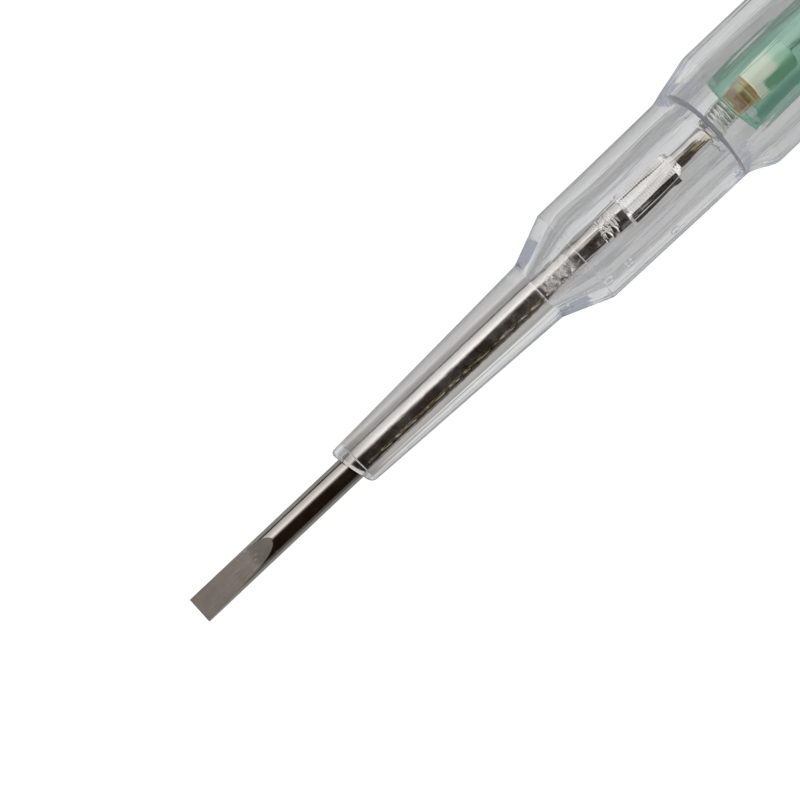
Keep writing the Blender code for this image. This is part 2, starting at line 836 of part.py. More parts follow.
def make_cap_plug(parts, look):
    """The threaded plug inside the cap, whose hollow shank takes the rear spring."""
    rivet_hole_radius = rivet_shank_diameter / 2 + slide_gap
    hole_x = cap_end_x - rivet_shank_length - seat_gap
    post_end_x = cap_end_x - cap_wall - seat_gap
    post_radius = plug_post_diameter / 2
    flange_x = cap_x + plug_flange_length
    flange_radius = cap_bore_radius - slide_gap
    corners = [
        (hole_x, 0, 0),
        (hole_x, rivet_hole_radius, 0),
        (post_end_x, rivet_hole_radius, 0),
        (post_end_x, post_radius, 0),
        (flange_x, post_radius, 0),
        (flange_x, flange_radius, 0),
        (cap_x, flange_radius, 0),
        (cap_x, shank_radius, 0),
        (shank_x, shank_radius, shank_rounding),
        (shank_x, shank_bore_radius, 0),
        (plug_floor_x, shank_bore_radius, 0),
        (plug_floor_x, 0, 0),
    ]
    return finished(turned("cap_plug", rounded(corners), parts), look)


def make_touch_rivet(parts, look):
    """The rivet that the finger touches. It pins the shell to the plug."""
    head_x = cap_end_x + rivet_head_height
    head_radius = rivet_head_diameter / 2
    shank_end_x = cap_end_x - rivet_shank_length
    rivet_radius = rivet_shank_diameter / 2
    corners = [
        (head_x, 0, 0),
        (head_x, head_radius, rivet_head_rounding),
        (cap_end_x + seat_gap, head_radius, 0),
        (cap_end_x + seat_gap, rivet_radius, 0),
        (shank_end_x, rivet_radius, 0),
        (shank_end_x, 0, 0),
    ]
    return finished(turned("touch_rivet", rounded(corners), parts, small_steps), look)


def build():
    clear_scene()
    parts = new_collection("voltage_tester_screwdriver")
    cutters = new_collection("cutters")

    clear_plastic = material("clear_plastic", (0.92, 0.93, 0.94), 0.05, transmission=1.0)
    green_plastic = material("green_plastic", (0.17, 0.45, 0.31), 0.2, transmission=0.6)
    nickel_plate = material("nickel_plate", (0.6, 0.58, 0.55), 0.2, metallic=1.0)
    spring_steel = material("spring_steel", (0.66, 0.65, 0.62), 0.2, metallic=1.0)
    dull_brass = material("dull_brass", (0.35, 0.24, 0.12), 0.35, metallic=1.0)
    bright_brass = material("bright_brass", (0.72, 0.53, 0.25), 0.25, metallic=1.0)
    white_ceramic = material("white_ceramic", (0.74, 0.7, 0.64), 0.5)
    lamp_glass = material("lamp_glass", (0.95, 0.96, 0.95), 0.02, transmission=1.0)
    tinned_wire = material("tinned_wire", (0.7, 0.7, 0.68), 0.3, metallic=1.0)

    pieces = [
        make_handle(parts, cutters, clear_plastic),
        make_blade_shaft(parts, cutters, nickel_plate),
        make_thread_insert(parts, bright_brass),
        make_front_spring(parts, spring_steel),
        make_cartridge_tube(parts, green_plastic),
        make_resistor_cap(parts, dull_brass),
        make_resistor_body(parts, white_ceramic),
        make_resistor_lead(parts, tinned_wire),
        make_lamp_glass(parts, lamp_glass),
        make_lamp_cap("lamp_front_cap", lamp_x, 1, parts, bright_brass),
        make_lamp_cap("lamp_rear_cap", lamp_end_x, -1, parts, bright_brass),
        make_electrode("lamp_electrode_front", lamp_x, 1, parts, tinned_wire),
        make_electrode("lamp_electrode_rear", lamp_end_x, -1, parts, tinned_wire),
        make_contact_button(parts, bright_brass),
        make_rear_spring(parts, spring_steel),
        make_pocket_clip(parts, nickel_plate),
        make_clip_washer(parts, nickel_plate),
        make_cap_shell(parts, nickel_plate),
        make_cap_plug(parts, bright_brass),
        make_touch_rivet(parts, bright_brass),
    ]
    tool_axis = add_object("tool_axis", None, parts)
    tool_axis.location = (-overall_length / 2, axis_y, rest_height)
    for piece in pieces:
        piece.parent = tool_axis
    print(f"overall length {overall_length / mm:.2f} mm, axis at y {axis_y / mm:.4f} mm")
    print(f"axis {rest_height / mm:.4f} mm above the ground, clip {math.degrees(clip_drop):.2f} degrees below level")


build()
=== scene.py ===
"""The looks of a voltage tester screwdriver: clear moulded handle, nickel-plated blade, green cartridge.

Stations along the tool are measured from the blade's tip, and radii from the tool's axis, in millimetres.
The frame and the meshes are in metres.
An angle around the axis is 0 towards +Y, a quarter turn towards +Z, and half a turn towards -Y.
"""
import json
import math

import bpy
import numpy as np
from numpy import cos, sin
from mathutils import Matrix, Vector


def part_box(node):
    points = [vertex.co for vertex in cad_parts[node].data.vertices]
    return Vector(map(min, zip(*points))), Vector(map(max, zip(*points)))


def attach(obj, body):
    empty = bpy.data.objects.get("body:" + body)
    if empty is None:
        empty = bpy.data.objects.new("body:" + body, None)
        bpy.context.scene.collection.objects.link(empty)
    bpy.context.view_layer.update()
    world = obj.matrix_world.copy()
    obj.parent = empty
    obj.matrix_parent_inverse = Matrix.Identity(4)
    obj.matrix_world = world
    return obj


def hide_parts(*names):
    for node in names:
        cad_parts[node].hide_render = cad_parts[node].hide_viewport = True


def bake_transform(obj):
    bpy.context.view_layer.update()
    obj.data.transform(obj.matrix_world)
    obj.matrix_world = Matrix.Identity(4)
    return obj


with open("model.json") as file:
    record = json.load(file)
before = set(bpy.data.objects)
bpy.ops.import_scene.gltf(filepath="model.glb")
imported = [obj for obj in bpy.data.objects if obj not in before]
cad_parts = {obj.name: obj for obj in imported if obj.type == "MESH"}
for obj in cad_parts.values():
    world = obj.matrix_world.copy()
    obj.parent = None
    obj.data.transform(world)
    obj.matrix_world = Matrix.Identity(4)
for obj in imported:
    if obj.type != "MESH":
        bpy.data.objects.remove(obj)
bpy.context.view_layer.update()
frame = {"record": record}

mm = 0.001
full_turn = 2 * math.pi
sideways = np.array([0.0, 1.0, 0.0])

# Places that come from the frame
tip_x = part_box("blade_shaft")[0].x
tube_low, tube_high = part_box("cartridge_tube")
axis_y = (tube_low.y + tube_high.y) / 2
axis_z = (tube_low.z + tube_high.z) / 2

# The material slot and the moving body of each node
slots = {part["node"]: part["material_slot"] for part in frame["record"]["subparts"]}
bodies = {node: body for body, nodes in frame["record"]["behaviour"]["bodies"].items() for node in nodes}


def station(x):
    """The station of a world x."""
    return (x - tip_x) / mm


def world_x(place):
    """The world x of a station."""
    return tip_x + place * mm


def span(node):
    """The first and last station of a CAD node."""
    low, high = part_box(node)
    return station(low.x), station(high.x)


def widest(node):
    """The radius of a CAD node that is centred on the axis."""
    low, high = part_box(node)
    return (high.z - low.z) / 2 / mm


# Gaps
seat_gap = 0.3
slide_gap = 0.2
closing_radius = 0.01

# Rod and blade
rod_radius = 1.5
tail_radius = 1.08
tail_chamfer = 0.2
blade_tip_half = 0.28
blade_knee = (7.4, 0.945)
blade_end = (10.35, 1.5)
blade_turn = math.radians(11.5)
coin_start = 58.6
coin_end = 65.9
coin_rise = 0.4
coin_fall = 0.8
coin_half_width = 1.7
coin_corners = (
    (1.7, 0.42), (0.98, 0.88), (0.86, 0.84), (0.23, 1.0), (0.12, 1.04), (-0.7, 1.26), (-1.2, 0.93),
    (-1.31, 0.74), (-1.7, 0.45),
)
draw_line_angle = math.radians(115)
draw_line_depth = 0.06
teeth_start = 55.3
teeth_pitch = 0.8
teeth_pitches = 3.01
teeth_depth = 0.12

# Clear handle
nose = 21.0
sleeve_end = 47.0
flare_end = 52.2
neck = 69.5
shoulder = 73.6
handle_end = 127.0
sleeve_front_radius = 2.55
sleeve_rear_radius = 3.53
body_radius = 5.65
neck_radius = 5.8
grip_radius = 7.15
underside_flat = 2.8
rod_seat_radius = 1.48
mouth_radius = 1.63
mouth_depth = 1.0
chamber_front = 47.0
chamber_full = 53.4
chamber_radius = 3.1
bore_step = 70.5
bore_step_length = 0.16
bore_radius = 3.85
step_bow = 0.25
insert_seat = 116.8
insert_seat_radius = 5.8
rest_height = math.sqrt(grip_radius**2 - (underside_flat / 2) ** 2)
nose_slope = math.tan(math.radians(12.4))
neck_slope = math.tan(math.radians(11.2))
groove_count = 8
groove_pitch = math.radians(9.0)
groove_half_angle = math.radians(3.3)
groove_depth = 0.12
groove_grip_share = 0.35
groove_end = 120.0
side_lines = np.radians([134, 149, 161])
side_line_height = 0.035
side_line_width = 0.03
pin_marks = ((52.6, 0.8), (55.3, 0.82), (61.0, 1.02))
pin_mark_radius = 0.42
pin_mark_line = 0.11
pin_mark_height = 0.09

# Springs and thread
front_coils = 8
front_wire = 0.36
front_coil_radius = 1.45
first_coil_radius = 1.0
rear_coils = 15
rear_wire = 0.5
thread_pitch = 1.0
thread_height = 0.2

# Cartridge
tube_wall = 0.7
tube_front = span("cartridge_tube")[0] + 1.1
tube_lean = 0.13
resistor_radius = 1.6
resistor_lean = 0.35
resistor_cap_wall = 0.3
resistor_cap_front = span("resistor_front_cap")[0] + 0.8
resistor_cap_floor = resistor_cap_front + resistor_cap_wall
# green_from and painted_highlight_end bound the resistor's painted glow and painted highlight.
green_from = 77.55
painted_highlight_end = 79.75
lead_thickness = 0.6
lamp_wall = 0.4
lead_hole = 0.5

# Cap and clip
rivet_hole = 1.1
ring_bore = 4.5
ring_x = handle_end + seat_gap
clip_thickness = 0.55
clip_crest = 2.0
clip_half_root = 3.0


def axis_point(x):
    """The world point on the tool's axis at a station."""
    return (world_x(x), axis_y, axis_z)


def on_axis(x, radius, angle):
    """World points from stations, radii and angles: (x, r cos a, r sin a) about the tool's axis."""
    x, radius, angle = np.broadcast_arrays(x, radius, angle)
    radius = radius * mm
    return np.stack([world_x(x), axis_y + radius * cos(angle), axis_z + radius * sin(angle)], -1)


def smooth(value, low, high):
    """0 below low, 1 above high, and 3t^2 - 2t^3 between them."""
    share = np.clip((value - low) / (high - low), 0, 1)
    return share * share * (3 - 2 * share)


def between(value, low, high, fade):
    """1 from low to high, with smooth steps of the length fade inside both ends."""
    return smooth(value, low, low + fade) * (1 - smooth(value, high - fade, high))


def added(name, data):
    """A new object of the scene."""
    made = bpy.data.objects.new(name, data)
    bpy.context.scene.collection.objects.link(made)
    return made


def surface(name, node, grid, loop=False, sharp=30, look=None, stretch=None, instead=True):
    """A closed piece from a grid of points, whose columns wrap round, instead of a CAD node.

    Where loop is true the rows wrap round too. Otherwise the first and the last row shrink to their
    middle point, which closes the ends. look is a material other than the node's own, and stretch
    gives two bodies and two world points between which the piece stretches.
    """
    points = grid.reshape(-1, 3)
    index = np.arange(len(points)).reshape(grid.shape[:2])
    across = np.roll(index, -1, axis=1)
    quads = np.stack([index, across, np.roll(across, -1, axis=0), np.roll(index, -1, axis=0)], -1)
    quads = (quads if loop else quads[:-1]).reshape(-1, 4)
    faces = quads.tolist()
    if not loop:
        middle = np.full(grid.shape[1], len(points))
        faces += np.stack([across[0], index[0], middle], -1).tolist()
        faces += np.stack([index[-1], across[-1], middle + 1], -1).tolist()
        points = np.concatenate([points, [grid[0].mean(0), grid[-1].mean(0)]])
    corners = points[quads] - points.mean(0)
    volume = np.einsum("ij,ij->i", np.cross(corners[:, 0], corners[:, 1]), corners[:, 2]).sum()
    if volume < 0:
        faces = [face[::-1] for face in faces]
    mesh = bpy.data.meshes.new(name)
    mesh.from_pydata(points.tolist(), [], faces)
    mesh.shade_smooth()
    mesh.set_sharp_from_angle(angle=math.radians(sharp))
    mesh.materials.append(materials[look or slots[node]])
    piece = added(name, mesh)
    if instead:
        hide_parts(node)
    if stretch:
        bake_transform(piece)
    else:
        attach(piece, bodies[node])
    return piece


def unit(vectors):
    """The vectors' directions, as vectors of length 1."""
    return vectors / np.linalg.norm(vectors, axis=-1, keepdims=True)


def rounded(corners, closed, arc_points=7):
    """Stations and radii of a section whose corners are (x, r, rounding), with an arc at each rounding.

    An arc's centre lies on the corner's bisector, at rounding / sin(half the corner's angle).
    """
    points = []
    last = len(corners) - 1
    for i, (x, r, rounding) in enumerate(corners):
        here = np.array([x, r])
        if not rounding or (not closed and i in (0, last)):
            points.append(here[None])
            continue
        before = unit(np.array(corners[i - 1][:2]) - here)
        after = unit(np.array(corners[i + 1 if i < last else 0][:2]) - here)
        half = np.arccos(np.clip(before @ after, -1, 1)) / 2
        centre = here + (before + after) / (2 * cos(half)) * rounding / sin(half)
        reach = rounding / np.tan(half)
        start = here + before * reach - centre
        end = here + after * reach - centre
        turn = math.pi - 2 * half
        share = np.linspace(0, 1, arc_points)[:, None]
        arc = (start * sin((1 - share) * turn) + end * sin(share * turn)) / sin(turn)
        points.append(centre + arc)
    return np.concatenate(points)


def filled_in(section, longest, closed):
    """The section with extra points, so that no two neighbours lie further apart than longest."""
    following = np.roll(section, -1, axis=0) if closed else section[1:]
    points = []
    for here, there in zip(section, following):
        count = max(1, math.ceil(np.linalg.norm(there - here) / longest))
        points.append(here + (there - here) * np.arange(count)[:, None] / count)
    if not closed:
        points.append(section[-1:])
    return np.concatenate(points)


def turned(name, node, corners, columns=96, solid=False, shape=None, longest=None, lean=0):
    """A piece turned about the axis from its section. shape(x, r, angle) returns changed x and r.

    A solid one closes on the axis at both ends. lean moves it towards +Y, for a piece that lies loosely
    against one side of its bore.
    """
    if solid:
        corners = [(corners[0][0], closing_radius, 0), *corners, (corners[-1][0], closing_radius, 0)]
    section = rounded(corners, closed=not solid)
    if longest:
        section = filled_in(section, longest, closed=not solid)
    angle = np.arange(columns) * full_turn / columns
    x = section[:, :1] + 0 * angle
    r = section[:, 1:] + 0 * angle
    if shape:
        x, r = shape(x, r, angle)
    return surface(name, node, on_axis(x, r, angle) + lean * mm * sideways, loop=not solid)


def wire(name, node, path, thickness, side, stretch=None):
    """A round wire along a path of world points. side is a vector, or one per point, never along the path.

    Each ring is the circle radius (n cos v + b sin v), with n the part of side that is square to the
    path's direction t, and b = t x n.
    """
    along = unit(np.gradient(path, axis=0))
    normal = unit(side - (side * along).sum(1, keepdims=True) * along)
    binormal = np.cross(along, normal)
    v = np.arange(14) * full_turn / 14
    circle = normal[:, None] * cos(v)[:, None] + binormal[:, None] * sin(v)[:, None]
    grid = path[:, None] + thickness / 2 * mm * circle
    return surface(name, node, grid, sharp=60, stretch=stretch)


# Shader helpers

def fill(node, *first, **named):
    """Fills a node's first sockets in turn, and its properties and other sockets by name.

    A property's name is in small letters. Another node's output is linked, None leaves a socket as it
    is, and a colour is given as three numbers.
    """
    for key, value in named.items():
        if key.islower():
            setattr(node, key, value)
    labels = [key for key in named if not key.islower()]
    labelled = [(node.inputs[key.replace("_", " ")], named[key]) for key in labels]
    for socket, value in [*zip(node.inputs, first), *labelled]:
        if isinstance(value, bpy.types.NodeSocket):
            node.id_data.links.new(value, socket)
        elif value is not None:
            socket.default_value = (*value, 1) if socket.type == "RGBA" else value
    return node


def node_of(tree, kind, *first, **named):
    """The outputs of a new shader node, which is filled as above."""
    made = tree.nodes.new("ShaderNode" + kind)
    made.location.x = 200 * len(tree.nodes)
    return fill(made, *first, **named).outputs


def computed(tree, operation, *values):
    """One step of arithmetic."""
    return node_of(tree, "Math", *values, operation=operation)[0]


def ranged(tree, value, low, high, to_low=0.0, to_high=1.0, kind="LINEAR"):
    """A value carried over from one range to another, and kept inside that."""
    return node_of(tree, "MapRange", value, low, high, to_low, to_high, interpolation_type=kind)[0]


def mixed(tree, share, a, b, kind="MIX"):
    """The colour at a share of the way from a to b."""
    return node_of(tree, "Mix", data_type="RGBA", blend_type=kind, Factor=share, A=a, B=b)["Result"]


def ramp(tree, share, stops):
    """The colour at a share between (position, value or colour) stops."""
    colour = node_of(tree, "ValToRGB", share)[0]
    elements = colour.node.color_ramp.elements
    while len(elements) < len(stops):
        elements.new(0.5)
    for element, (position, value) in zip(elements, stops):
        element.position = position
        element.color = (*value, 1) if isinstance(value, tuple) else (value, value, value, 1)
    return colour


def place_on(tree):
    """The place on the object, which is the place in the world, as no piece is moved."""
    return node_of(tree, "TexCoord")["Object"]


def stretched(tree, place, share):
    """A place whose x counts only by its share, which stretches a pattern along the tool."""
    shares = node_of(tree, "CombineXYZ", share, 1.0, 1.0)[0]
    return node_of(tree, "VectorMath", place, shares, operation="MULTIPLY")[0]


def noise(tree, place, scale, detail, roughness=0.5):
    """Soft noise from 0 to 1."""
    return node_of(tree, "TexNoise", Vector=place, Scale=scale, Detail=detail, Roughness=roughness)[0]


def bumped(tree, height, strength, depth, normal=None):
    """A normal that leans with a height from 0 to 1, which stands for the depth."""
    return node_of(tree, "Bump", Height=height, Strength=strength, Distance=depth * mm, Normal=normal)[0]


def group(name, inputs, outputs):
    """An empty shader node group with named float inputs and outputs."""
    tree = bpy.data.node_groups.new(name, "ShaderNodeTree")
    for label, default in inputs.items():
        socket = tree.interface.new_socket(label, in_out="INPUT", socket_type="NodeSocketFloat")
        socket.default_value = default
    for label in outputs:
        tree.interface.new_socket(label, in_out="OUTPUT", socket_type="NodeSocketFloat")
    return tree, tree.nodes.new("NodeGroupInput").outputs, tree.nodes.new("NodeGroupOutput")


def flow_lines_group():
    """Flow lines of moulded plastic: noise that is stretched along the tool, and cloudy patches."""
    given_values = {"Fineness": 900.0, "Stretch": 0.05, "Line Height": 1.0}
    tree, given, made = group("flow_lines", given_values, ("Height", "Cloud"))
    place = place_on(tree)
    along = stretched(tree, place, given["Stretch"])
    finer = computed(tree, "MULTIPLY", given["Fineness"], 3.5)
    threads = ranged(tree, noise(tree, along, finer, 1.0, 0.4), 0.6, 0.75, 0.0, 0.5)
    lines = computed(tree, "ADD", noise(tree, along, given["Fineness"], 2.0), threads)
    height = computed(tree, "MULTIPLY", lines, given["Line Height"])
    fill(made, Height=height, Cloud=noise(tree, place, 260.0, 3.0, 0.55))
    return tree


def metal_wear_group():
    """Handled metal: fine scratches along the tool, small pits and smudges, as masks from 0 to 1."""
    given_values = {"Scratch Scale": 2500.0, "Scratch Stretch": 0.04, "Smudge Scale": 350.0}
    tree, given, made = group("metal_wear", given_values, ("Scratches", "Smudges", "Pits"))
    place = place_on(tree)
    along = stretched(tree, place, given["Scratch Stretch"])
    from_pit = node_of(tree, "TexVoronoi", Vector=place, Scale=1100.0)["Distance"]
    fill(
        made,
        Scratches=noise(tree, along, given["Scratch Scale"], 2.0),
        Smudges=noise(tree, place, given["Smudge Scale"], 3.0, 0.6),
        Pits=ranged(tree, from_pit, 0.0, 0.1, 1.0, 0.0),
    )
    return tree


flow_lines = flow_lines_group()
metal_wear = metal_wear_group()
materials = {}


def shader(name):
    """The node tree and the Principled BSDF of a new material, which materials keeps by its name."""
    made = materials[name] = bpy.data.materials.new(name)
    made.use_nodes = True
    return made.node_tree, made.node_tree.nodes["Principled BSDF"]


def fed_by(principled, label):
    """The output that now feeds a socket of the Principled BSDF."""
    return principled.inputs[label].links[0].from_socket


def plastic(name, light, dark, roughness, fineness, ior, bump, lines=1.0, painted_guided_light=None, deep=None, clear=1.0):
    """See-through moulded plastic. Its tint wanders between two colours, and flow lines ripple it.

    Where the wall is seen edge-on its tint nears the deep colour. Past three mirrorings in the wall its
    colour is black, and at four it glows in the painted_guided_light colour, painted light for light trapped
    in the wall.
    clear is the share that shines through.
    """
    tree, principled = shader(name)
    flow = node_of(tree, "Group", node_tree=flow_lines, Fineness=fineness, Line_Height=lines)
    colour = ramp(tree, flow["Cloud"], [(0.35, dark), (0.65, light)])
    if deep:
        edge_on = node_of(tree, "LayerWeight", Blend=0.5)["Facing"]
        colour = mixed(tree, edge_on, colour, deep)
    # Painted light: past three mirrorings the colour is black, and at four the plastic glows instead of
    # showing light.
    if painted_guided_light:
        mirrored = node_of(tree, "LightPath")["Glossy Depth"]
        colour = mixed(tree, computed(tree, "GREATER_THAN", mirrored, 3.5), colour, (0, 0, 0))
        glow = mixed(tree, computed(tree, "COMPARE", mirrored, 4.0, 0.5), (0, 0, 0), painted_guided_light)
        fill(principled, Emission_Color=glow, Emission_Strength=1.0)
    fill(
        principled, Base_Color=colour, Transmission_Weight=clear, IOR=ior, Metallic=0.0,
        Roughness=ranged(tree, flow["Cloud"], 0.3, 0.75, *roughness),
        Normal=bumped(tree, flow["Height"], bump, 0.02),
    )


def metal(name, bright, dull, roughness, bump=0.15, painted_tube_glow=None):
    """Metal whose colour wanders between bright and dull, with scratches and pits in its finish.

    painted_tube_glow is a faint emission, painted light for light trapped around it in the green tube.
    """
    tree, principled = shader(name)
    wear = node_of(tree, "Group", node_tree=metal_wear)
    tint = ramp(tree, wear["Smudges"], [(0.35, dull), (0.65, bright)])
    shade = ramp(tree, wear["Pits"], [(0.0, 1.0), (1.0, 0.55)])
    marks = computed(tree, "SUBTRACT", wear["Scratches"], wear["Pits"])
    fill(
        principled, Base_Color=mixed(tree, 1.0, tint, shade, "MULTIPLY"), Metallic=1.0,
        Roughness=ranged(tree, wear["Smudges"], 0.3, 0.7, *roughness),
        Normal=bumped(tree, marks, bump, 0.01),
    )
    # Painted light: a faint glow in place of the light trapped around the part in the green tube.
    if painted_tube_glow:
        fill(principled, Emission_Color=painted_tube_glow, Emission_Strength=1.0)
    return tree, principled


def pressed_metal(name, bright, dull, roughness):
    """Metal with the fine ridges of the press across it, a sine of 0.3 mm pitch that noise bends."""
    tree, principled = metal(name, bright, dull, roughness, 0.4)
    ridges = node_of(
        tree, "TexWave", bands_direction="X", Vector=place_on(tree), Scale=1050.0, Distortion=3.0, Detail=2.0
    )["Fac"]
    fill(principled, Normal=bumped(tree, ridges, 1.0, 0.009, fed_by(principled, "Normal")))


def marked_blade(name, bright, dull, roughness):
    """Nickel of the blade: short slanting file marks near the tongue, and a wavier plate inside the handle,
    where its colour is painted lighter, a painted highlight for the brighter light seen through the plastic.

    The marks are stretched noise, kept where it is above a limit. Both fade with the place along the tool.
    """
    tree, principled = metal(name, bright, dull, roughness)
    place = place_on(tree)
    along = node_of(tree, "SeparateXYZ", place)["X"]
    tilt = (0, 0, math.radians(-16))
    slant = node_of(tree, "Mapping", Vector=place, Rotation=tilt, Scale=(1500, 4200, 1500))[0]
    begins = ranged(tree, along, world_x(4.0), world_x(9.0), kind="SMOOTHSTEP")
    ends = ranged(tree, along, world_x(10.5), world_x(9.5))
    inside = ranged(tree, along, world_x(nose), world_x(nose + 5), kind="SMOOTHSTEP")
    kept = ranged(tree, noise(tree, slant, 1.0, 2.0), 0.6, 0.7)
    mask = computed(tree, "MULTIPLY", computed(tree, "MULTIPLY", begins, ends), kept)
    waves = computed(tree, "MULTIPLY", inside, noise(tree, place, 1000.0, 3.0))
    height = computed(tree, "MULTIPLY_ADD", mask, 0.3, waves)
    # Painted highlight: inside the handle the base colour is painted lighter.
    painted_bright_inside = mixed(tree, inside, fed_by(principled, "Base Color"), (0.85, 0.82, 0.785))
    fill(
        principled, Base_Color=mixed(tree, mask, painted_bright_inside, (0.78, 0.74, 0.68)),
        Normal=bumped(tree, height, 0.8, 0.03, fed_by(principled, "Normal")),
    )


def ceramic(name):
    """Unglazed resistor body: warm white with faint stains and a grainy skin.

    Its emission is painted light, for light that is trapped in the green tube: a pale painted glow ahead of
    the stretch that the tube's front covers and, up to painted_highlight_end, a painted highlight on the
    side towards +Y, and a green painted glow elsewhere, darker on the side away from +Y.
    """
    tree, principled = shader(name)
    wear = node_of(tree, "Group", node_tree=metal_wear)
    place = node_of(tree, "SeparateXYZ", place_on(tree))
    # Painted light and shade: the emission is pale ahead of the tube's front and on the +Y side, green and
    # darker elsewhere.
    front = ranged(tree, place["X"], world_x(green_from + 0.15), world_x(green_from - 0.15), 0.0, 0.7)
    reach = ranged(tree, place["X"], world_x(painted_highlight_end + 0.25), world_x(painted_highlight_end - 0.25))
    painted_lit_side = ranged(tree, place["Y"], axis_y - 0.2 * mm, axis_y + 0.2 * mm)
    pale = computed(tree, "MAXIMUM", front, computed(tree, "MULTIPLY", reach, painted_lit_side))
    green = mixed(tree, painted_lit_side, (0.03, 0.11, 0.06), (0.30, 0.38, 0.33))
    fill(
        principled, Specular_IOR_Level=0.35, Emission_Strength=1.0,
        Emission_Color=mixed(tree, pale, green, (0.66, 0.49, 0.46)),
        Base_Color=ramp(tree, wear["Smudges"], [(0.3, (0.92, 0.78, 0.70)), (0.6, (0.99, 0.90, 0.85))]),
        Roughness=ranged(tree, wear["Smudges"], 0.3, 0.7, 0.4, 0.65),
        Normal=bumped(tree, wear["Scratches"], 0.25, 0.01),
    )


# The painted_guided_light colours below are painted light, a glow for light trapped in each wall.
plastic(
    "clear_plastic", (0.95, 0.952, 0.955), (0.91, 0.915, 0.925), (0.0, 0.05),
    fineness=900.0, ior=1.49, bump=0.8, painted_guided_light=(0.36, 0.385, 0.43),
)
# Darker and less clear plastic for the bore's step: painted shade along the step.
plastic(
    "step_plastic_painted_shade", (0.50, 0.50, 0.53), (0.38, 0.38, 0.41), (0.0, 0.1),
    fineness=900.0, ior=1.49, bump=0.8, painted_guided_light=(0.06, 0.06, 0.07), clear=0.3,
)
plastic(
    "green_plastic", (0.735, 0.93, 0.84), (0.655, 0.90, 0.79), (0.02, 0.08),
    fineness=1100.0, ior=1.5, bump=0.4, painted_guided_light=(0.12, 0.30, 0.21), deep=(0.12, 0.45, 0.30),
)
plastic(
    "lamp_glass", (0.97, 0.98, 0.97), (0.93, 0.95, 0.94), (0.0, 0.02),
    fineness=500.0, ior=1.5, bump=0.1, lines=0.4,
)
metal("nickel_plate", (0.66, 0.63, 0.59), (0.54, 0.51, 0.47), (0.10, 0.22))
marked_blade("nickel_blade", (0.66, 0.62, 0.57), (0.58, 0.54, 0.49), (0.10, 0.18))
# Nearly white: on the coined faces that do not lean towards -Y it is a painted highlight over the press's
# real ridges.
pressed_metal("pressed_nickel_painted_bright", (0.99, 0.98, 0.96), (0.84, 0.82, 0.78), (0.15, 0.25))
metal("spring_steel", (0.95, 0.93, 0.90), (0.55, 0.52, 0.48), (0.05, 0.12))
# dull_brass has a faint glow, painted light for the light trapped in the green tube.
metal("dull_brass", (1.0, 0.68, 0.44), (0.80, 0.50, 0.31), (0.3, 0.5), 0.3, (0.13, 0.06, 0.035))
metal("bright_brass", (0.78, 0.60, 0.30), (0.62, 0.45, 0.20), (0.15, 0.3))
metal("worn_brass", (0.96, 0.88, 0.62), (0.70, 0.58, 0.32), (0.15, 0.3), 0.6)
metal("tinned_wire", (0.76, 0.75, 0.73), (0.6, 0.59, 0.57), (0.2, 0.35))
ceramic("white_ceramic")


# The clear handle

def handle_angles():
    """Angles around the handle, close together where its grooves and pin marks are, wide elsewhere.

    They are read off the running sum of a density, so that each step holds an equal share of it.
    """
    columns = 290
    fine = np.linspace(0, full_turn, 2881)
    from_side = np.abs((fine + math.pi / 2) % math.pi - math.pi / 2)
    marks = np.abs(fine - math.pi / 2 - 0.85) < 0.3
    dense = (from_side < (groove_count / 2 + 0.3) * groove_pitch) | marks
    total = np.concatenate([[0], np.cumsum(np.where(dense, 2.7, 1.0)[:-1])])
    return np.interp(np.arange(columns) * total[-1] / columns, total, fine)


def outside_section():
    """The handle's outside, from the mouth round the nose to the rear, with rows close at the pin marks."""
    corners = [
        (nose, mouth_radius, 0), (nose, sleeve_front_radius, 0.6),
        (sleeve_end, sleeve_rear_radius, 2.0), (flare_end, body_radius, 1.3),
        (neck, neck_radius, 1.6), (shoulder, grip_radius, 1.8), (handle_end, grip_radius, 0.5),
        (handle_end, insert_seat_radius, 0),
    ]
    rows = filled_in(rounded(corners, closed=False), 1.0, closed=False)
    reach = pin_mark_radius + pin_mark_line
    marks = np.array([x for x, _ in pin_marks])
    near_marks = np.concatenate([np.linspace(x - reach, x + reach, 14) for x in marks])
    line = rows[(rows[:, 0] > flare_end) & (rows[:, 0] < neck)]
    extra = np.stack([near_marks, np.interp(near_marks, line[:, 0], line[:, 1])], -1)
    far = np.min(np.abs(rows[:, :1] - marks), axis=1)
    rows = rows[(far > reach) | (rows[:, 1] > neck_radius) | (rows[:, 1] < body_radius)]
    # Rows at one station keep their order, as each counts as a millionth of a millimetre further on.
    places = np.searchsorted(rows[:, 0] + np.arange(len(rows)) * 1e-6, near_marks)
    return np.insert(rows, places, extra, axis=0)


def bore_section():
    """The handle's inside, from the rear through the bore, the chamber and the rod's seat to the mouth."""
    corners = [
        (handle_end, insert_seat_radius, 0), (insert_seat, insert_seat_radius, 0),
        (insert_seat, bore_radius, 0), (bore_step + bore_step_length, bore_radius, 0.1),
        (bore_step, chamber_radius, 0.1), (chamber_full, chamber_radius, 6.0),
        (chamber_front, rod_seat_radius, 1.5), (nose + mouth_depth + 0.15, rod_seat_radius, 0.08),
        (nose + mouth_depth, mouth_radius, 0.08), (nose, mouth_radius, 0),
    ]
    return filled_in(rounded(corners, closed=False), 1.0, closed=False)[1:-1]


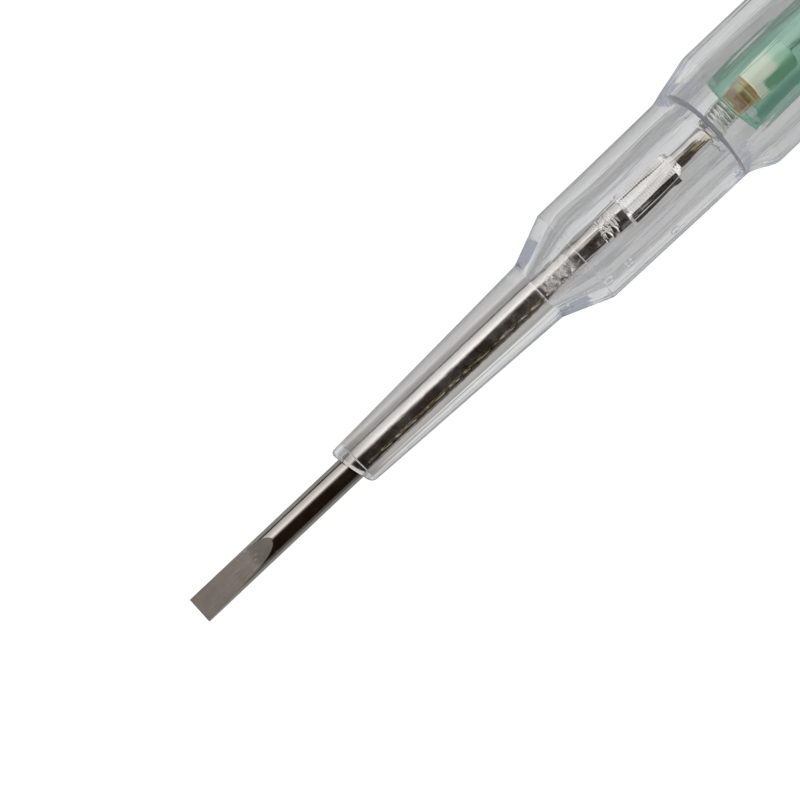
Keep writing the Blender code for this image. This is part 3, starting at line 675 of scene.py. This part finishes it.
def flutes(x, angle):
    """Depth of the side grooves: raised cosines side by side, fading in down the shoulder."""
    from_side = (angle + math.pi / 2) % math.pi - math.pi / 2
    place = from_side / groove_pitch + groove_count / 2
    off_line = np.abs(place - np.floor(place) - 0.5) * groove_pitch
    within = (np.abs(from_side) < groove_count / 2 * groove_pitch) & (off_line < groove_half_angle)
    wave = 0.5 + 0.5 * cos(math.pi * off_line / groove_half_angle)
    run = smooth(x, neck + 0.8, neck + 2.6) * (1 - smooth(x, groove_end - 1.5, groove_end))
    run = run * (1 - 0.85 * smooth(np.abs(from_side), 2.2 * groove_pitch, 3.2 * groove_pitch))
    worn = 1 - (1 - groove_grip_share) * smooth(x, shoulder - 0.3, shoulder + 1.5)
    return groove_depth * wave * within * run * worn


def pin_mark_rings(x, angle):
    """Height of the plain round pin marks: a low ridge, exp(-(distance from the circle / line)^2)."""
    height = 0
    for mark_x, lean in pin_marks:
        away = np.hypot(x - mark_x, body_radius * (angle - math.pi / 2 - lean))
        height = height + pin_mark_height * np.exp(-(((away - pin_mark_radius) / (pin_mark_line / 2)) ** 2))
    return height


def outside_wall(angle):
    """The outside: its section plus low sines for mould waves, narrow bells for the lines along one
    side, the pin marks and grooves, cut by the flat underneath at r = rest height / -sin a.

    Nose and neck lie at a slant: x moves by -r cos a times their slope.
    """
    x, r = (part[:, None] + 0 * angle for part in outside_section().T)
    on_wall = smooth(x, nose + 0.5, nose + 3) * (1 - smooth(x, handle_end - 2, handle_end))
    waves = 0.004 * sin(5 * angle + 0.09 * x) + 0.0025 * sin(13 * angle - 0.16 * x + 1.0)
    waves = waves + 0.006 * sin(0.31 * x + 2 * sin(angle))
    for line in side_lines:
        waves = waves + side_line_height * np.exp(-(((angle - line) / side_line_width) ** 2)) * (x < neck)
    r = r + on_wall * waves - flutes(x, angle)
    r = r + pin_mark_rings(x, angle) * (x > flare_end) * (x < neck)
    floor_reach = rest_height / np.maximum(-sin(angle), 1e-6)
    r = np.where((sin(angle) < 0) & (r > insert_seat_radius), np.minimum(r, floor_reach), r)
    lean = nose_slope * (1 - smooth(x, nose, nose + 2.0))
    lean = lean + neck_slope * smooth(x, neck - 4.5, neck) * (1 - smooth(x, neck, shoulder))
    return on_axis(x - r * cos(angle) * lean, r, angle)


def bore_wall(angle):
    """The bore: its section plus fine streaks, cubed and plain sines of a hundredth of a millimetre.

    The mouth has the nose's slant, and the step bows back by step_bow sin a.
    """
    x, r = (part[:, None] + 0 * angle for part in bore_section().T)
    streaks = 0.018 * sin(23 * angle + 2 * sin(0.5 * x)) ** 3 + 0.005 * sin(41 * angle + 0.26 * x)
    streaks = streaks + 0.006 * sin(4 * angle + 0.2 * x) + 0.005 * sin(11 * angle - 0.09 * x)
    r = r + smooth(x, chamber_front, chamber_full) * (r < bore_radius + 0.1) * streaks
    x = x - r * cos(angle) * nose_slope * (1 - smooth(x, nose, nose + 1.5))
    near_step = smooth(x, bore_step - 2, bore_step) * (1 - smooth(x, bore_step + 1, bore_step + 3))
    return on_axis(x + step_bow * near_step * sin(angle), r, angle)


def make_handle():
    """One moulding whose outside and bore join at the mouth and at the rear. The bore's step is darker."""
    angle = handle_angles()
    grid = np.concatenate([outside_wall(angle), bore_wall(angle)])
    handle = surface("clear_handle", "handle", grid, loop=True)
    # Painted shade: the faces at the bore's step take the darker, less clear plastic.
    handle.data.materials.append(materials["step_plastic_painted_shade"])
    margin = 0.06
    for face in handle.data.polygons:
        x, y, z = face.center
        unbowed = station(x) - step_bow * (z - axis_z) / mm / bore_radius
        at_step = bore_step - margin < unbowed < bore_step + bore_step_length + margin
        if at_step and math.hypot(y - axis_y, z - axis_z) / mm < bore_radius + 0.1:
            face.material_index = 1


# The rod and its blade

def blade_half_thickness(x):
    """Half the blade's thickness: a straight taper to the knee, then a parabola that runs out."""
    slope = (blade_knee[1] - blade_tip_half) / blade_knee[0]
    share = np.clip((x - blade_knee[0]) / (blade_end[0] - blade_knee[0]), 0, None)
    rise = blade_end[1] - blade_knee[1] - slope * (blade_end[0] - blade_knee[0])
    return blade_tip_half + slope * x + rise * share**2


def shaft_stations():
    """Stations of the rod's rings, close together at the blade, the notches and the coined stretch."""
    tail = span("blade_shaft")[1]
    stretches = (
        (0, 10.6, 90),
        (12, nose + 1.5, 12),
        (nose + 1.8, teeth_start - 0.5, 110),
        (teeth_start - 0.2, coin_start - 0.05, 70),
        (coin_start, coin_start + coin_rise, 8),
        (coin_start + coin_rise, coin_end - coin_fall, 12),
        (coin_end - coin_fall, coin_end, 8),
        (coin_end + 0.02, tail - tail_chamfer, 8),
        (tail, tail, 1),
    )
    return np.unique(np.concatenate([np.linspace(*stretch) for stretch in stretches]))


def coin_outline():
    """The coined stretch's corners, once round, and their angles."""
    half_round = np.array(coin_corners)
    corners = np.concatenate([half_round, -half_round])
    return corners, np.arctan2(corners[:, 1], corners[:, 0]) % full_turn


def coined_radius(x, angle, rod):
    """The coined stretch, pressed to flat sides between coin_corners, which half a turn repeats.

    The side from corner P to corner Q is at r = P x Q / (u x (Q - P)) in the direction u.
    """
    turned_angle = (angle - blade_turn) % full_turn
    corners, corner_angle = coin_outline()
    here = (np.searchsorted(corner_angle, turned_angle) - 1) % len(corners)
    first = corners[here]
    second = corners[(here + 1) % len(corners)]
    reach = first[..., 0] * second[..., 1] - first[..., 1] * second[..., 0]
    side = second - first
    pressed = reach / (cos(turned_angle) * side[..., 1] - sin(turned_angle) * side[..., 0])
    share = np.clip(np.minimum((x - coin_start) / coin_rise, (coin_end - x) / coin_fall), 0, 1)
    wing = smooth(x, coin_start - 3.0, coin_start) * (x < coin_start)
    rod = rod + (coin_half_width - rod) * wing * np.abs(cos(turned_angle)) ** 6
    rod = np.where((x > coin_end - coin_fall) & (x <= coin_end), tail_radius, rod)
    return rod + (pressed - rod) * share


def ring_angles(x, half):
    """Angles of each ring's points, along the blade's two flats and on the arcs between them.

    In the coined stretch the nearest point of a ring moves to each corner.
    """
    edge = np.minimum(half, 0.985 * rod_radius)
    flat = np.linspace(1, -1, 26)[None, 1:-1] * np.sqrt(rod_radius**2 - edge**2)
    arc = np.linspace(-1, 1, 60)[None] * np.arcsin(edge / rod_radius)
    top = np.arctan2(edge, flat)
    angle = np.concatenate([arc, top, math.pi + arc, math.pi + top], axis=1)
    coined = (x[:, 0] >= coin_start) & (x[:, 0] <= coin_end)
    for corner in coin_outline()[1] + blade_turn:
        off = (angle[-1] - corner + math.pi) % full_turn - math.pi
        nearest = np.argmin(np.abs(off))
        angle[coined, nearest] = angle[-1, nearest] - off[nearest]
    return angle


def notches(x, angle):
    """Depth of the notches on top and underneath: two sets of slanting cosines that cross, cut off low."""
    tooth = (x - teeth_start) / teeth_pitch
    one_way = cos(full_turn * tooth + 2 * angle)
    other_way = cos(full_turn * tooth * 0.93 - 3 * angle)
    bite = np.clip(1.6 * np.maximum(one_way, other_way) - 0.6, 0, 1) * (tooth > 0) * (tooth < teeth_pitches)
    return teeth_depth * bite * np.clip(2.2 * np.abs(sin(angle)) - 1.0, 0, 1)


def make_shaft():
    """The rod's rings are circles cut by its flats: r = min(rod radius, half thickness / |sin angle|).

    Lines from drawing are beaded grooves, one point wide, whose faces get a bright brass colour: real
    grooves with a painted warm glint.
    """
    x = shaft_stations()[:, None]
    half = blade_half_thickness(x)
    angle = ring_angles(x, half)
    rod = np.where(x > coin_end, tail_radius, rod_radius)
    flat = np.where(x < blade_end[0], half / np.maximum(np.abs(sin(angle)), 1e-6), rod)
    r = coined_radius(x, angle, np.minimum(rod - notches(x, angle), flat))
    drawn = np.argmin(np.abs(angle - blade_turn - draw_line_angle), axis=1)
    beads = np.clip(0.55 + 0.5 * sin(2.6 * x + 2 * sin(0.7 * x)) + 0.3 * sin(6.1 * x), 0, 1)
    along = (x > nose + 2) & (x < coin_start - 5) | (x > coin_end + 0.3)
    on_tail = x > coin_end + 0.6
    rows = np.arange(len(r))
    for offset, where in ((0, along), (1, along), (-4, on_tail), (-8, on_tail)):
        r[rows, drawn + offset] -= (draw_line_depth * beads * where)[:, 0]
    r[-1] -= tail_chamfer
    grid = on_axis(x, r, angle - blade_turn)
    shaft = surface("nickel_shaft", "blade_shaft", grid, sharp=24, look="nickel_blade")
    shaft.data.materials.append(materials["pressed_nickel_painted_bright"])
    shaft.data.materials.append(materials["worn_brass"])
    # Painted light: coined faces that do not lean towards -Y take the brighter pressed metal, those towards
    # -Y stay darker.
    for face in shaft.data.polygons:
        if coin_start < station(face.center.x) < coin_end and face.normal.y > -0.35:
            face.material_index = 1
    # Painted glint: the faces of the drawn grooves on these rows take the bright brass colour.
    painted_glint_rows = along & ((x < sleeve_end) | (x > coin_end))
    for row in np.flatnonzero(painted_glint_rows[:-1]):
        for offset in (-1, 0, 1, -9, -8, -5, -4) if on_tail[row] else (-1, 0, 1):
            shaft.data.polygons[int(row * angle.shape[1] + drawn[row] + offset)].material_index = 2


# Springs

def coil_path(x0, x1, radius, thickness, curls, first_radius=None):
    """A compression spring's path, and the direction away from the axis at each point.

    The pitch falls to a quarter over the last turn at both ends. The first turn may begin narrower.
    """
    turns = np.linspace(0, curls, curls * 40 + 1)
    pitch = 1 - 0.75 * (1 - np.clip(np.minimum(turns, curls - turns), 0, 1))
    x = np.concatenate([[0], np.cumsum((pitch[1:] + pitch[:-1]) / 2)])
    x = x0 + thickness / 2 + (x1 - x0 - thickness) * x / x[-1]
    start = first_radius or radius
    r = start + (radius - start) * smooth(turns, 0, 1.0)
    angle = turns * full_turn
    return on_axis(x, r, angle), np.stack([0 * x, cos(angle), sin(angle)], -1)


def make_front_spring():
    """It reaches onto the resistor's cap, and its rear lies to one side with the resistor."""
    x0, x1 = span("front_spring")
    path, side = coil_path(
        x0 - 0.1, x1 + 1.1, front_coil_radius, front_wire, front_coils, first_coil_radius
    )
    path[:, 1] += resistor_lean * mm * smooth(station(path[:, 0]), x0, x1)
    stretch = ("handle_body", "cartridge", axis_point(x0), axis_point(x1))
    wire("front_coils", "front_spring", path, front_wire, side, stretch)


def make_rear_spring():
    """Its front end goes a third as far as its rear end, and 3t^2 - 2t^3 is a third at t = 0.387."""
    third = 0.387
    x0, x1 = span("rear_spring")
    path, side = coil_path(x0, x1, widest("rear_spring") - rear_wire / 2, rear_wire, rear_coils)
    still = x0 - (x1 - x0) * third / (1 - third)
    stretch = ("handle_body", "washer", axis_point(still), axis_point(x1))
    wire("rear_coils", "rear_spring", path, rear_wire, side, stretch)


# The cartridge

def make_tube():
    """The green tube, whose front is cut on a slant."""
    rear = span("cartridge_tube")[1]
    outer = widest("cartridge_tube")
    inner = outer - tube_wall

    def moulded(x, r, angle):
        """Mould waves on the wall, 4 and 9 to the turn, a few thousandths of a millimetre high.

        The slant is -0.32 sin a - 0.1 cos a, times the outer radius, and fades over 3 mm.
        """
        waves = 0.005 * sin(4 * angle + 0.14 * x) + 0.003 * sin(9 * angle - 0.22 * x)
        fade = 1 - smooth(x, tube_front, tube_front + 3.0)
        slant = -outer * (0.32 * sin(angle) + 0.1 * cos(angle)) * fade
        return x + slant, r + waves * (r > inner - 0.1)

    corners = [
        (rear, outer, 0.25), (tube_front, outer, 0.25), (tube_front, inner, 0.2),
        (rear, inner, 0.15),
    ]
    turned("green_tube", "cartridge_tube", corners, columns=128, shape=moulded, longest=0.6, lean=tube_lean)


def make_resistor_cap():
    """A drawn cap with a low bead between two fine grooves near its open end."""
    open_end = span("resistor_front_cap")[1] - 0.15
    inner = resistor_radius - resistor_cap_wall
    bead = resistor_radius + 0.08
    groove = resistor_radius - 0.06
    bead_x = open_end - 0.6
    edge = 0.05
    corners = [
        (resistor_cap_floor, inner, 0.15), (open_end, inner, 0.08),
        (open_end, resistor_radius, edge), (bead_x + 0.4, resistor_radius, edge),
        (bead_x + 0.3, groove, edge), (bead_x + 0.2, bead, edge), (bead_x, bead, edge),
        (bead_x - 0.1, groove, edge), (bead_x - 0.25, resistor_radius, edge),
        (resistor_cap_front, resistor_radius, 0.35),
    ]
    turned("resistor_cap", "resistor_front_cap", corners, columns=72, solid=True, lean=resistor_lean)


def make_resistor_body():
    """A rod with a narrower spigot in the cap and a socket for the wire."""
    x0, x1 = span("resistor_body")
    spigot_end = max(x0, resistor_cap_floor + 0.1)
    spigot = resistor_radius - resistor_cap_wall - slide_gap
    shelf = span("resistor_front_cap")[1] - 0.1
    socket = 0.5
    socket_end = x1 - 1.0
    corners = [
        (socket_end, socket, 0), (x1, socket, 0.08), (x1, resistor_radius, 0.7),
        (shelf, resistor_radius, 0.1), (shelf, spigot, 0.05), (spigot_end, spigot, 0.1),
    ]
    turned(
        "ceramic_resistor", "resistor_body", corners,
        columns=72, solid=True, longest=0.8, lean=resistor_lean,
    )


def make_resistor_wire():
    """A wire with a kink, a bell curve upwards, that comes back to the axis from the resistor's lean."""
    x0, x1 = span("resistor_lead")
    x = np.linspace(x0, x1, 80)
    kink = 0.6 * np.exp(-(((x - (x0 + x1) / 2) / 0.9) ** 2))
    path = on_axis(x, kink, math.pi / 2)
    path[:, 1] += resistor_lean * mm * (1 - smooth(x, x0 + 1.2, x1 - 0.8))
    wire("resistor_wire", "resistor_lead", path, lead_thickness, sideways)


def make_bulb():
    """The lamp's glass: a tube with round shoulders and a lead hole in each end."""
    x0, x1 = span("lamp_glass")
    outer = widest("lamp_glass")
    inner = outer - lamp_wall
    corners = [
        (x1, lead_hole, 0), (x1, outer, 1.3), (x0, outer, 1.3),
        (x0, lead_hole, 0), (x0 + lamp_wall, lead_hole, 0), (x0 + lamp_wall, inner, 0.9),
        (x1 - lamp_wall, inner, 0.9), (x1 - lamp_wall, lead_hole, 0),
    ]
    turned("lamp_bulb", "lamp_glass", corners)


def make_lamp_caps():
    """A crimped metal cap on each end of the glass, with a hole for the electrode's wire."""
    for node, inward in (("lamp_front_cap", 1), ("lamp_rear_cap", -1)):
        end, open_end = span(node)[::inward]
        radius = widest(node)
        floor = end + inward * lamp_wall
        corners = [
            (end, radius, 0.25), (open_end, radius, 0.1), (open_end, radius - lamp_wall, 0.1),
            (floor, radius - lamp_wall, 0.15), (floor, lead_hole, 0.08), (end, lead_hole, 0.08),
        ]
        name = node.replace("lamp", "crimped")
        turned(name, node, corners, columns=72)


def make_electrodes():
    """Two wires that leave the axis by smooth steps, one upwards and one downwards, and overlap."""
    middle = sum(span("lamp_glass")) / 2
    for node, inward in (("lamp_electrode_front", 1), ("lamp_electrode_rear", -1)):
        end = span(node)[::inward][0]
        x = np.linspace(end, middle + inward * 2.75, 90)
        lifted = smooth(np.abs(x - end), 1.4, 2.9)
        path = on_axis(x, inward * 0.75 * lifted, math.pi / 2)
        name = node.replace("lamp_", "") + "_wire"
        wire(name, node, path, lead_thickness, sideways)


def make_button():
    """The turned button that closes the tube: a boss in the bore, a flange and a pip for the spring."""
    x0, x1 = span("contact_button")
    flange = x1 - 0.7
    seat = flange - 0.8
    radius = widest("contact_button")
    boss = radius - 0.9
    pip = 0.8
    corners = [
        (x1, pip, 0.25), (flange, pip, 0.1), (flange, radius, 0.15),
        (seat, radius, 0.15), (seat, boss, 0.1), (x0, boss, 0.3),
    ]
    turned("brass_button", "contact_button", corners, solid=True)


# Thread, cap and clip

def screw_thread(x, angle):
    """A right-hand thread's height: thread_height cos(2 pi x / pitch - angle)."""
    return thread_height * cos(full_turn * x / thread_pitch - angle)


def ring_of(x0, x1, outer, bore, outer_rounding, bore_rounding):
    """The section of a plain ring between two stations."""
    return [
        (x1, outer, outer_rounding), (x0, outer, outer_rounding),
        (x0, bore, bore_rounding), (x1, bore, bore_rounding),
    ]


def make_insert():
    """The threaded insert in the handle's open end."""
    x0, x1 = span("thread_insert")
    outer = 5.5
    bore = 4.5

    def threaded(x, r, angle):
        """A thread in the bore, which fades at both ends, and a straight knurl on the outside."""
        thread = screw_thread(x, angle) * between(x, x0, x1, 0.7) * (r < bore + 0.05)
        knurl = 0.12 * (0.5 + 0.5 * cos(36 * angle)) * (r > outer - 0.05)
        return x, r + thread - knurl

    turned(
        "threaded_insert", "thread_insert",
        ring_of(x0, x1, outer, bore, 0.2, 0.2), columns=216, shape=threaded, longest=0.1,
    )


def make_plug():
    """The plug in the cap: hollow threaded shank, collar, and a socket for the rivet."""
    x0, x1 = span("cap_plug")
    rivet_seat = span("touch_rivet")[0] - seat_gap
    collar = span("cap_shell")[0]
    collar_end = collar + 1.6
    floor = collar - 1.6
    shank = 4.2
    bore = 3.1
    radius = widest("cap_plug")
    neck_of_plug = 2.5
    thread_end = collar - 2.4

    def threaded(x, r, angle):
        """The same thread outside the shank, as far as the clip's ring."""
        on_shank = (r > shank - 0.05) & (x < thread_end) & (r < shank + 0.05)
        fade = smooth(x, x0, x0 + 0.8) * (1 - smooth(x, thread_end - 0.6, thread_end))
        return x, r + on_shank * fade * screw_thread(x, angle)

    corners = [
        (rivet_seat, rivet_hole, 0), (x1, rivet_hole, 0.1), (x1, neck_of_plug, 0.2),
        (collar_end, neck_of_plug, 0.2), (collar_end, radius, 0.2), (collar, radius, 0.15),
        (collar, shank, 0.1), (x0, shank, 0.3), (x0, bore, 0.2), (floor, bore, 0.4),
    ]
    turned("threaded_plug", "cap_plug", corners, columns=180, solid=True, shape=threaded, longest=0.1)


def make_cap():
    """The drawn outer cap, with a turned line near its open end."""
    x0, x1 = span("cap_shell")
    radius = widest("cap_shell")
    wall = 0.5
    margin = 1.7
    fade = 0.3

    def fluted(x, r, angle):
        """24 flutes between two plain bands: depth (1/2 + 1/2 cos 24 angle)^2, fading at their ends."""
        wave = (0.5 + 0.5 * cos(24 * angle)) ** 2
        run = between(x, x0 + margin - fade, x1 - margin + fade, 2 * fade)
        return x, r - 0.25 * wave * run * (r > radius - 0.05)

    corners = [
        (x1, rivet_hole, 0.05), (x1, radius, 1.0), (x0 + 1.0, radius, 0.1),
        (x0 + 0.8, radius - 0.12, 0.1), (x0 + 0.6, radius, 0.1), (x0, radius, 0.24),
        (x0, radius - wall, 0.15), (x1 - wall, radius - wall, 0.5), (x1 - wall, rivet_hole, 0.05),
    ]
    turned("fluted_cap", "cap_shell", corners, columns=288, shape=fluted, longest=0.25)


def make_rivet():
    """The rivet that the finger touches, with its shank in the cap's hole."""
    x0, x1 = span("touch_rivet")
    head = widest("touch_rivet")
    under = x1 - 0.2
    shank = rivet_hole - slide_gap
    corners = [(x1, head, 0.12), (under, head, 0.05), (under, shank, 0), (x0, shank, 0.1)]
    turned("rivet_head", "touch_rivet", corners, solid=True)


def make_washer():
    """The flat washer on which the cap turns."""
    corners = ring_of(*span("clip_washer"), widest("clip_washer"), ring_bore, 0.12, 0.08)
    turned("flat_washer", "clip_washer", corners)


def clip_drop():
    """How far the clip hangs below level, so that one edge of it meets the floor with the grip."""
    crest = grip_radius + clip_crest + clip_thickness
    reach = math.hypot(crest, clip_half_root)
    return math.asin(rest_height / reach) - math.atan2(clip_half_root, crest)


def clip_line(root, tip, outer):
    """The strip's middle line: up from the ring, along the grip, down to touch it and up at the tip."""
    touching = grip_radius + clip_thickness / 2
    corners = [
        (root, outer - 1.2, 0), (root, touching + clip_crest, 1.2), (tip + 6.4, touching + 1.3, 2.4),
        (tip + 3.2, touching + seat_gap, 2.4), (tip, touching + 1.5, 0),
    ]
    return filled_in(rounded(corners, closed=False), 0.5, closed=False)


def make_clip():
    """A ring under the cap and a bent strip along the grip, both from one sheet.

    The strip's section is a rounded rectangle, carried along its middle line and narrowing to the tip.
    """
    outer = 6.3
    corners = ring_of(ring_x, ring_x + 0.7, outer, ring_bore, 0.15, 0.1)
    turned("clip_ring", "pocket_clip", corners)

    root = ring_x + 0.35
    tip = root - 38.0
    tip_width = 3.6
    line = clip_line(root, tip, outer)
    x, height = line.T
    width = tip_width + (2 * clip_half_root - tip_width) * (x - tip) / (root - tip)
    from_tip = np.clip((x - tip) / 1.6, 0, 1)
    width = width * np.sqrt(np.clip(1 - (1 - from_tip) ** 2, 0.04, 1))
    along = unit(np.gradient(line, axis=0))
    rounding = 0.14
    corner = np.repeat([0, 1, 2, 3], 5)
    v = (corner + np.tile(np.linspace(0, 1, 5), 4)) * math.pi / 2
    side = np.where((corner == 0) | (corner == 3), 1, -1)
    top = np.where(corner < 2, 1, -1)
    across = (width[:, None] / 2 - rounding) * side + rounding * cos(v)
    lifted = (clip_thickness / 2 - rounding) * top + rounding * sin(v)
    strip_x = x[:, None] - along[:, 1:] * lifted
    strip_h = height[:, None] + along[:, :1] * lifted
    turn = math.pi / 2 + clip_drop()
    y = -sin(turn) * strip_h + cos(turn) * across
    z = cos(turn) * strip_h + sin(turn) * across
    grid = np.stack([world_x(strip_x), axis_y + y * mm, axis_z + z * mm], -1)
    surface("clip_strip", "pocket_clip", grid, instead=False)


# Floor, light and camera

def make_floor():
    """A pale floor. The camera sees it white, less the shadow.

    Polished metal and clear plastic see it in painted bands along the tool, painted shadow and painted pools
    of light:
    mirrored and bent list how bright it is at each y in millimetres, for a ray that a surface mirrors and
    for one that comes through plastic. For rays through plastic the bands glow, which is painted light.
    """
    size = 0.8
    mesh = bpy.data.meshes.new("floor")
    corners = [(-size, -size, 0), (size, -size, 0), (size, size, 0), (-size, size, 0)]
    mesh.from_pydata(corners, [], [(0, 1, 2, 3)])
    floor = added("floor", mesh)
    floor.location.z = -0.05 * mm
    low, high = -60, 80
    # Painted light and shade: bands of painted shadow and light across the floor, by y in millimetres.
    mirrored = [(-45, 0.15), (-8, 0.55), (45, 0.5), (56, 0.01)]
    bent = [
        (-60, 0.4), (-9, 0.4), (-6, 0.29), (-1, 0.48), (3, 0.65), (5.5, 0.6), (8, 0.4), (14, 0.21),
        (25, 0.21), (48, 0.27), (56, 0.02),
    ]
    tree, principled = shader("pale_floor")
    y = node_of(tree, "SeparateXYZ", place_on(tree))["Y"]
    across = ranged(tree, y, low * mm, high * mm)
    painted_mirrored_bands, through = (
        ramp(tree, across, [((place - low) / (high - low), value) for place, value in bands])
        for bands in (mirrored, bent)
    )
    path = node_of(tree, "LightPath")
    # Painted shade and light: glossy rays see the floor's colour in the mirrored bands, rays through plastic
    # see the bands' glow.
    paint = mixed(tree, path["Is Glossy Ray"], (0.8, 0.8, 0.8), painted_mirrored_bands)
    paint = mixed(tree, path["Is Transmission Ray"], paint, (0.25, 0.25, 0.25))
    paint = mixed(tree, path["Is Camera Ray"], paint, (0.3, 0.3, 0.3))
    painted_bent_light = computed(tree, "MULTIPLY", path["Is Transmission Ray"], through)
    seen_glow = computed(tree, "MULTIPLY", path["Is Camera Ray"], 0.91)
    fill(
        principled, Base_Color=paint, Roughness=1.0, Specular_IOR_Level=0.0,
        Emission_Color=(1, 1, 1), Emission_Strength=computed(tree, "ADD", painted_bent_light, seen_glow),
    )
    mesh.materials.append(materials["pale_floor"])


def make_world():
    """A studio around the tool: a dark ceiling right over it, a soft box on one side, pale walls and ends.

    The stops list the brightness of the middle by the angle in degrees from straight up, towards -Y.
    Beyond a lean of about 13 degrees towards the cap, or 39 towards the tip, the pale ends take over,
    and the middle gets darker before that on the tip's side. The camera sees white.
    """
    stops = [
        (-180, 0.3), (-92, 0.01), (-86, 0.012), (-84, 0.6), (-60, 0.78), (-42, 1.1), (-31, 1.3),
        (-24, (0.68, 0.63, 0.60)), (-19.5, (0.30, 0.26, 0.24)), (-14, (0.07, 0.053, 0.042)),
        (-9, (0.013, 0.007, 0.003)), (78, (0.013, 0.007, 0.003)), (83, 0.12), (91, 0.2), (120, 0.3),
    ]
    world = bpy.data.worlds.new("studio")
    bpy.context.scene.world = world
    world.use_nodes = True
    tree = world.node_tree
    towards = node_of(tree, "SeparateXYZ", node_of(tree, "TexCoord")["Generated"])
    angle = computed(tree, "ARCTAN2", computed(tree, "MULTIPLY", towards["Y"], -1.0), towards["Z"])
    share = ranged(tree, angle, -math.pi, math.pi)
    middle = ramp(tree, share, [((degrees + 180) / 360, value) for degrees, value in stops])
    dimmed = mixed(tree, 1.0, middle, ranged(tree, towards["X"], -0.3, -0.12, 0.3, 1.0), "MULTIPLY")
    off_middle = computed(tree, "ABSOLUTE", computed(tree, "ADD", towards["X"], 0.2))
    at_end = ranged(tree, off_middle, 0.4, 0.46, kind="SMOOTHSTEP")
    studio = mixed(tree, at_end, dimmed, ranged(tree, off_middle, 0.6, 0.8, 1.0, 1.4))
    seen = mixed(tree, node_of(tree, "LightPath")["Is Camera Ray"], studio, (1, 1, 1))
    fill(tree.nodes["Background"], Color=seen)


def make_camera():
    """Straight above the tool, turned so that the blade points to the lower left."""
    distance = 300.0
    frame_width = 80.8
    middle = 29.31
    off_axis = 1.62
    data = bpy.data.cameras.new("camera")
    data.sensor_width = 36.0
    data.lens = data.sensor_width * distance / frame_width
    data.clip_start = 0.005
    camera = added("camera", data)
    camera.location = (world_x(middle), axis_y + off_axis * mm, axis_z + distance * mm)
    camera.rotation_euler = (0, 0, -math.radians(43.3))
    bpy.context.scene.camera = camera


for make in (
    make_handle, make_shaft, make_front_spring, make_rear_spring, make_tube, make_resistor_cap,
    make_resistor_body, make_resistor_wire, make_bulb, make_lamp_caps, make_electrodes, make_button,
    make_insert, make_plug, make_cap, make_rivet, make_washer, make_clip,
    make_floor, make_world, make_camera,
):
    make()
bpy.context.scene.view_settings.view_transform = "Standard"
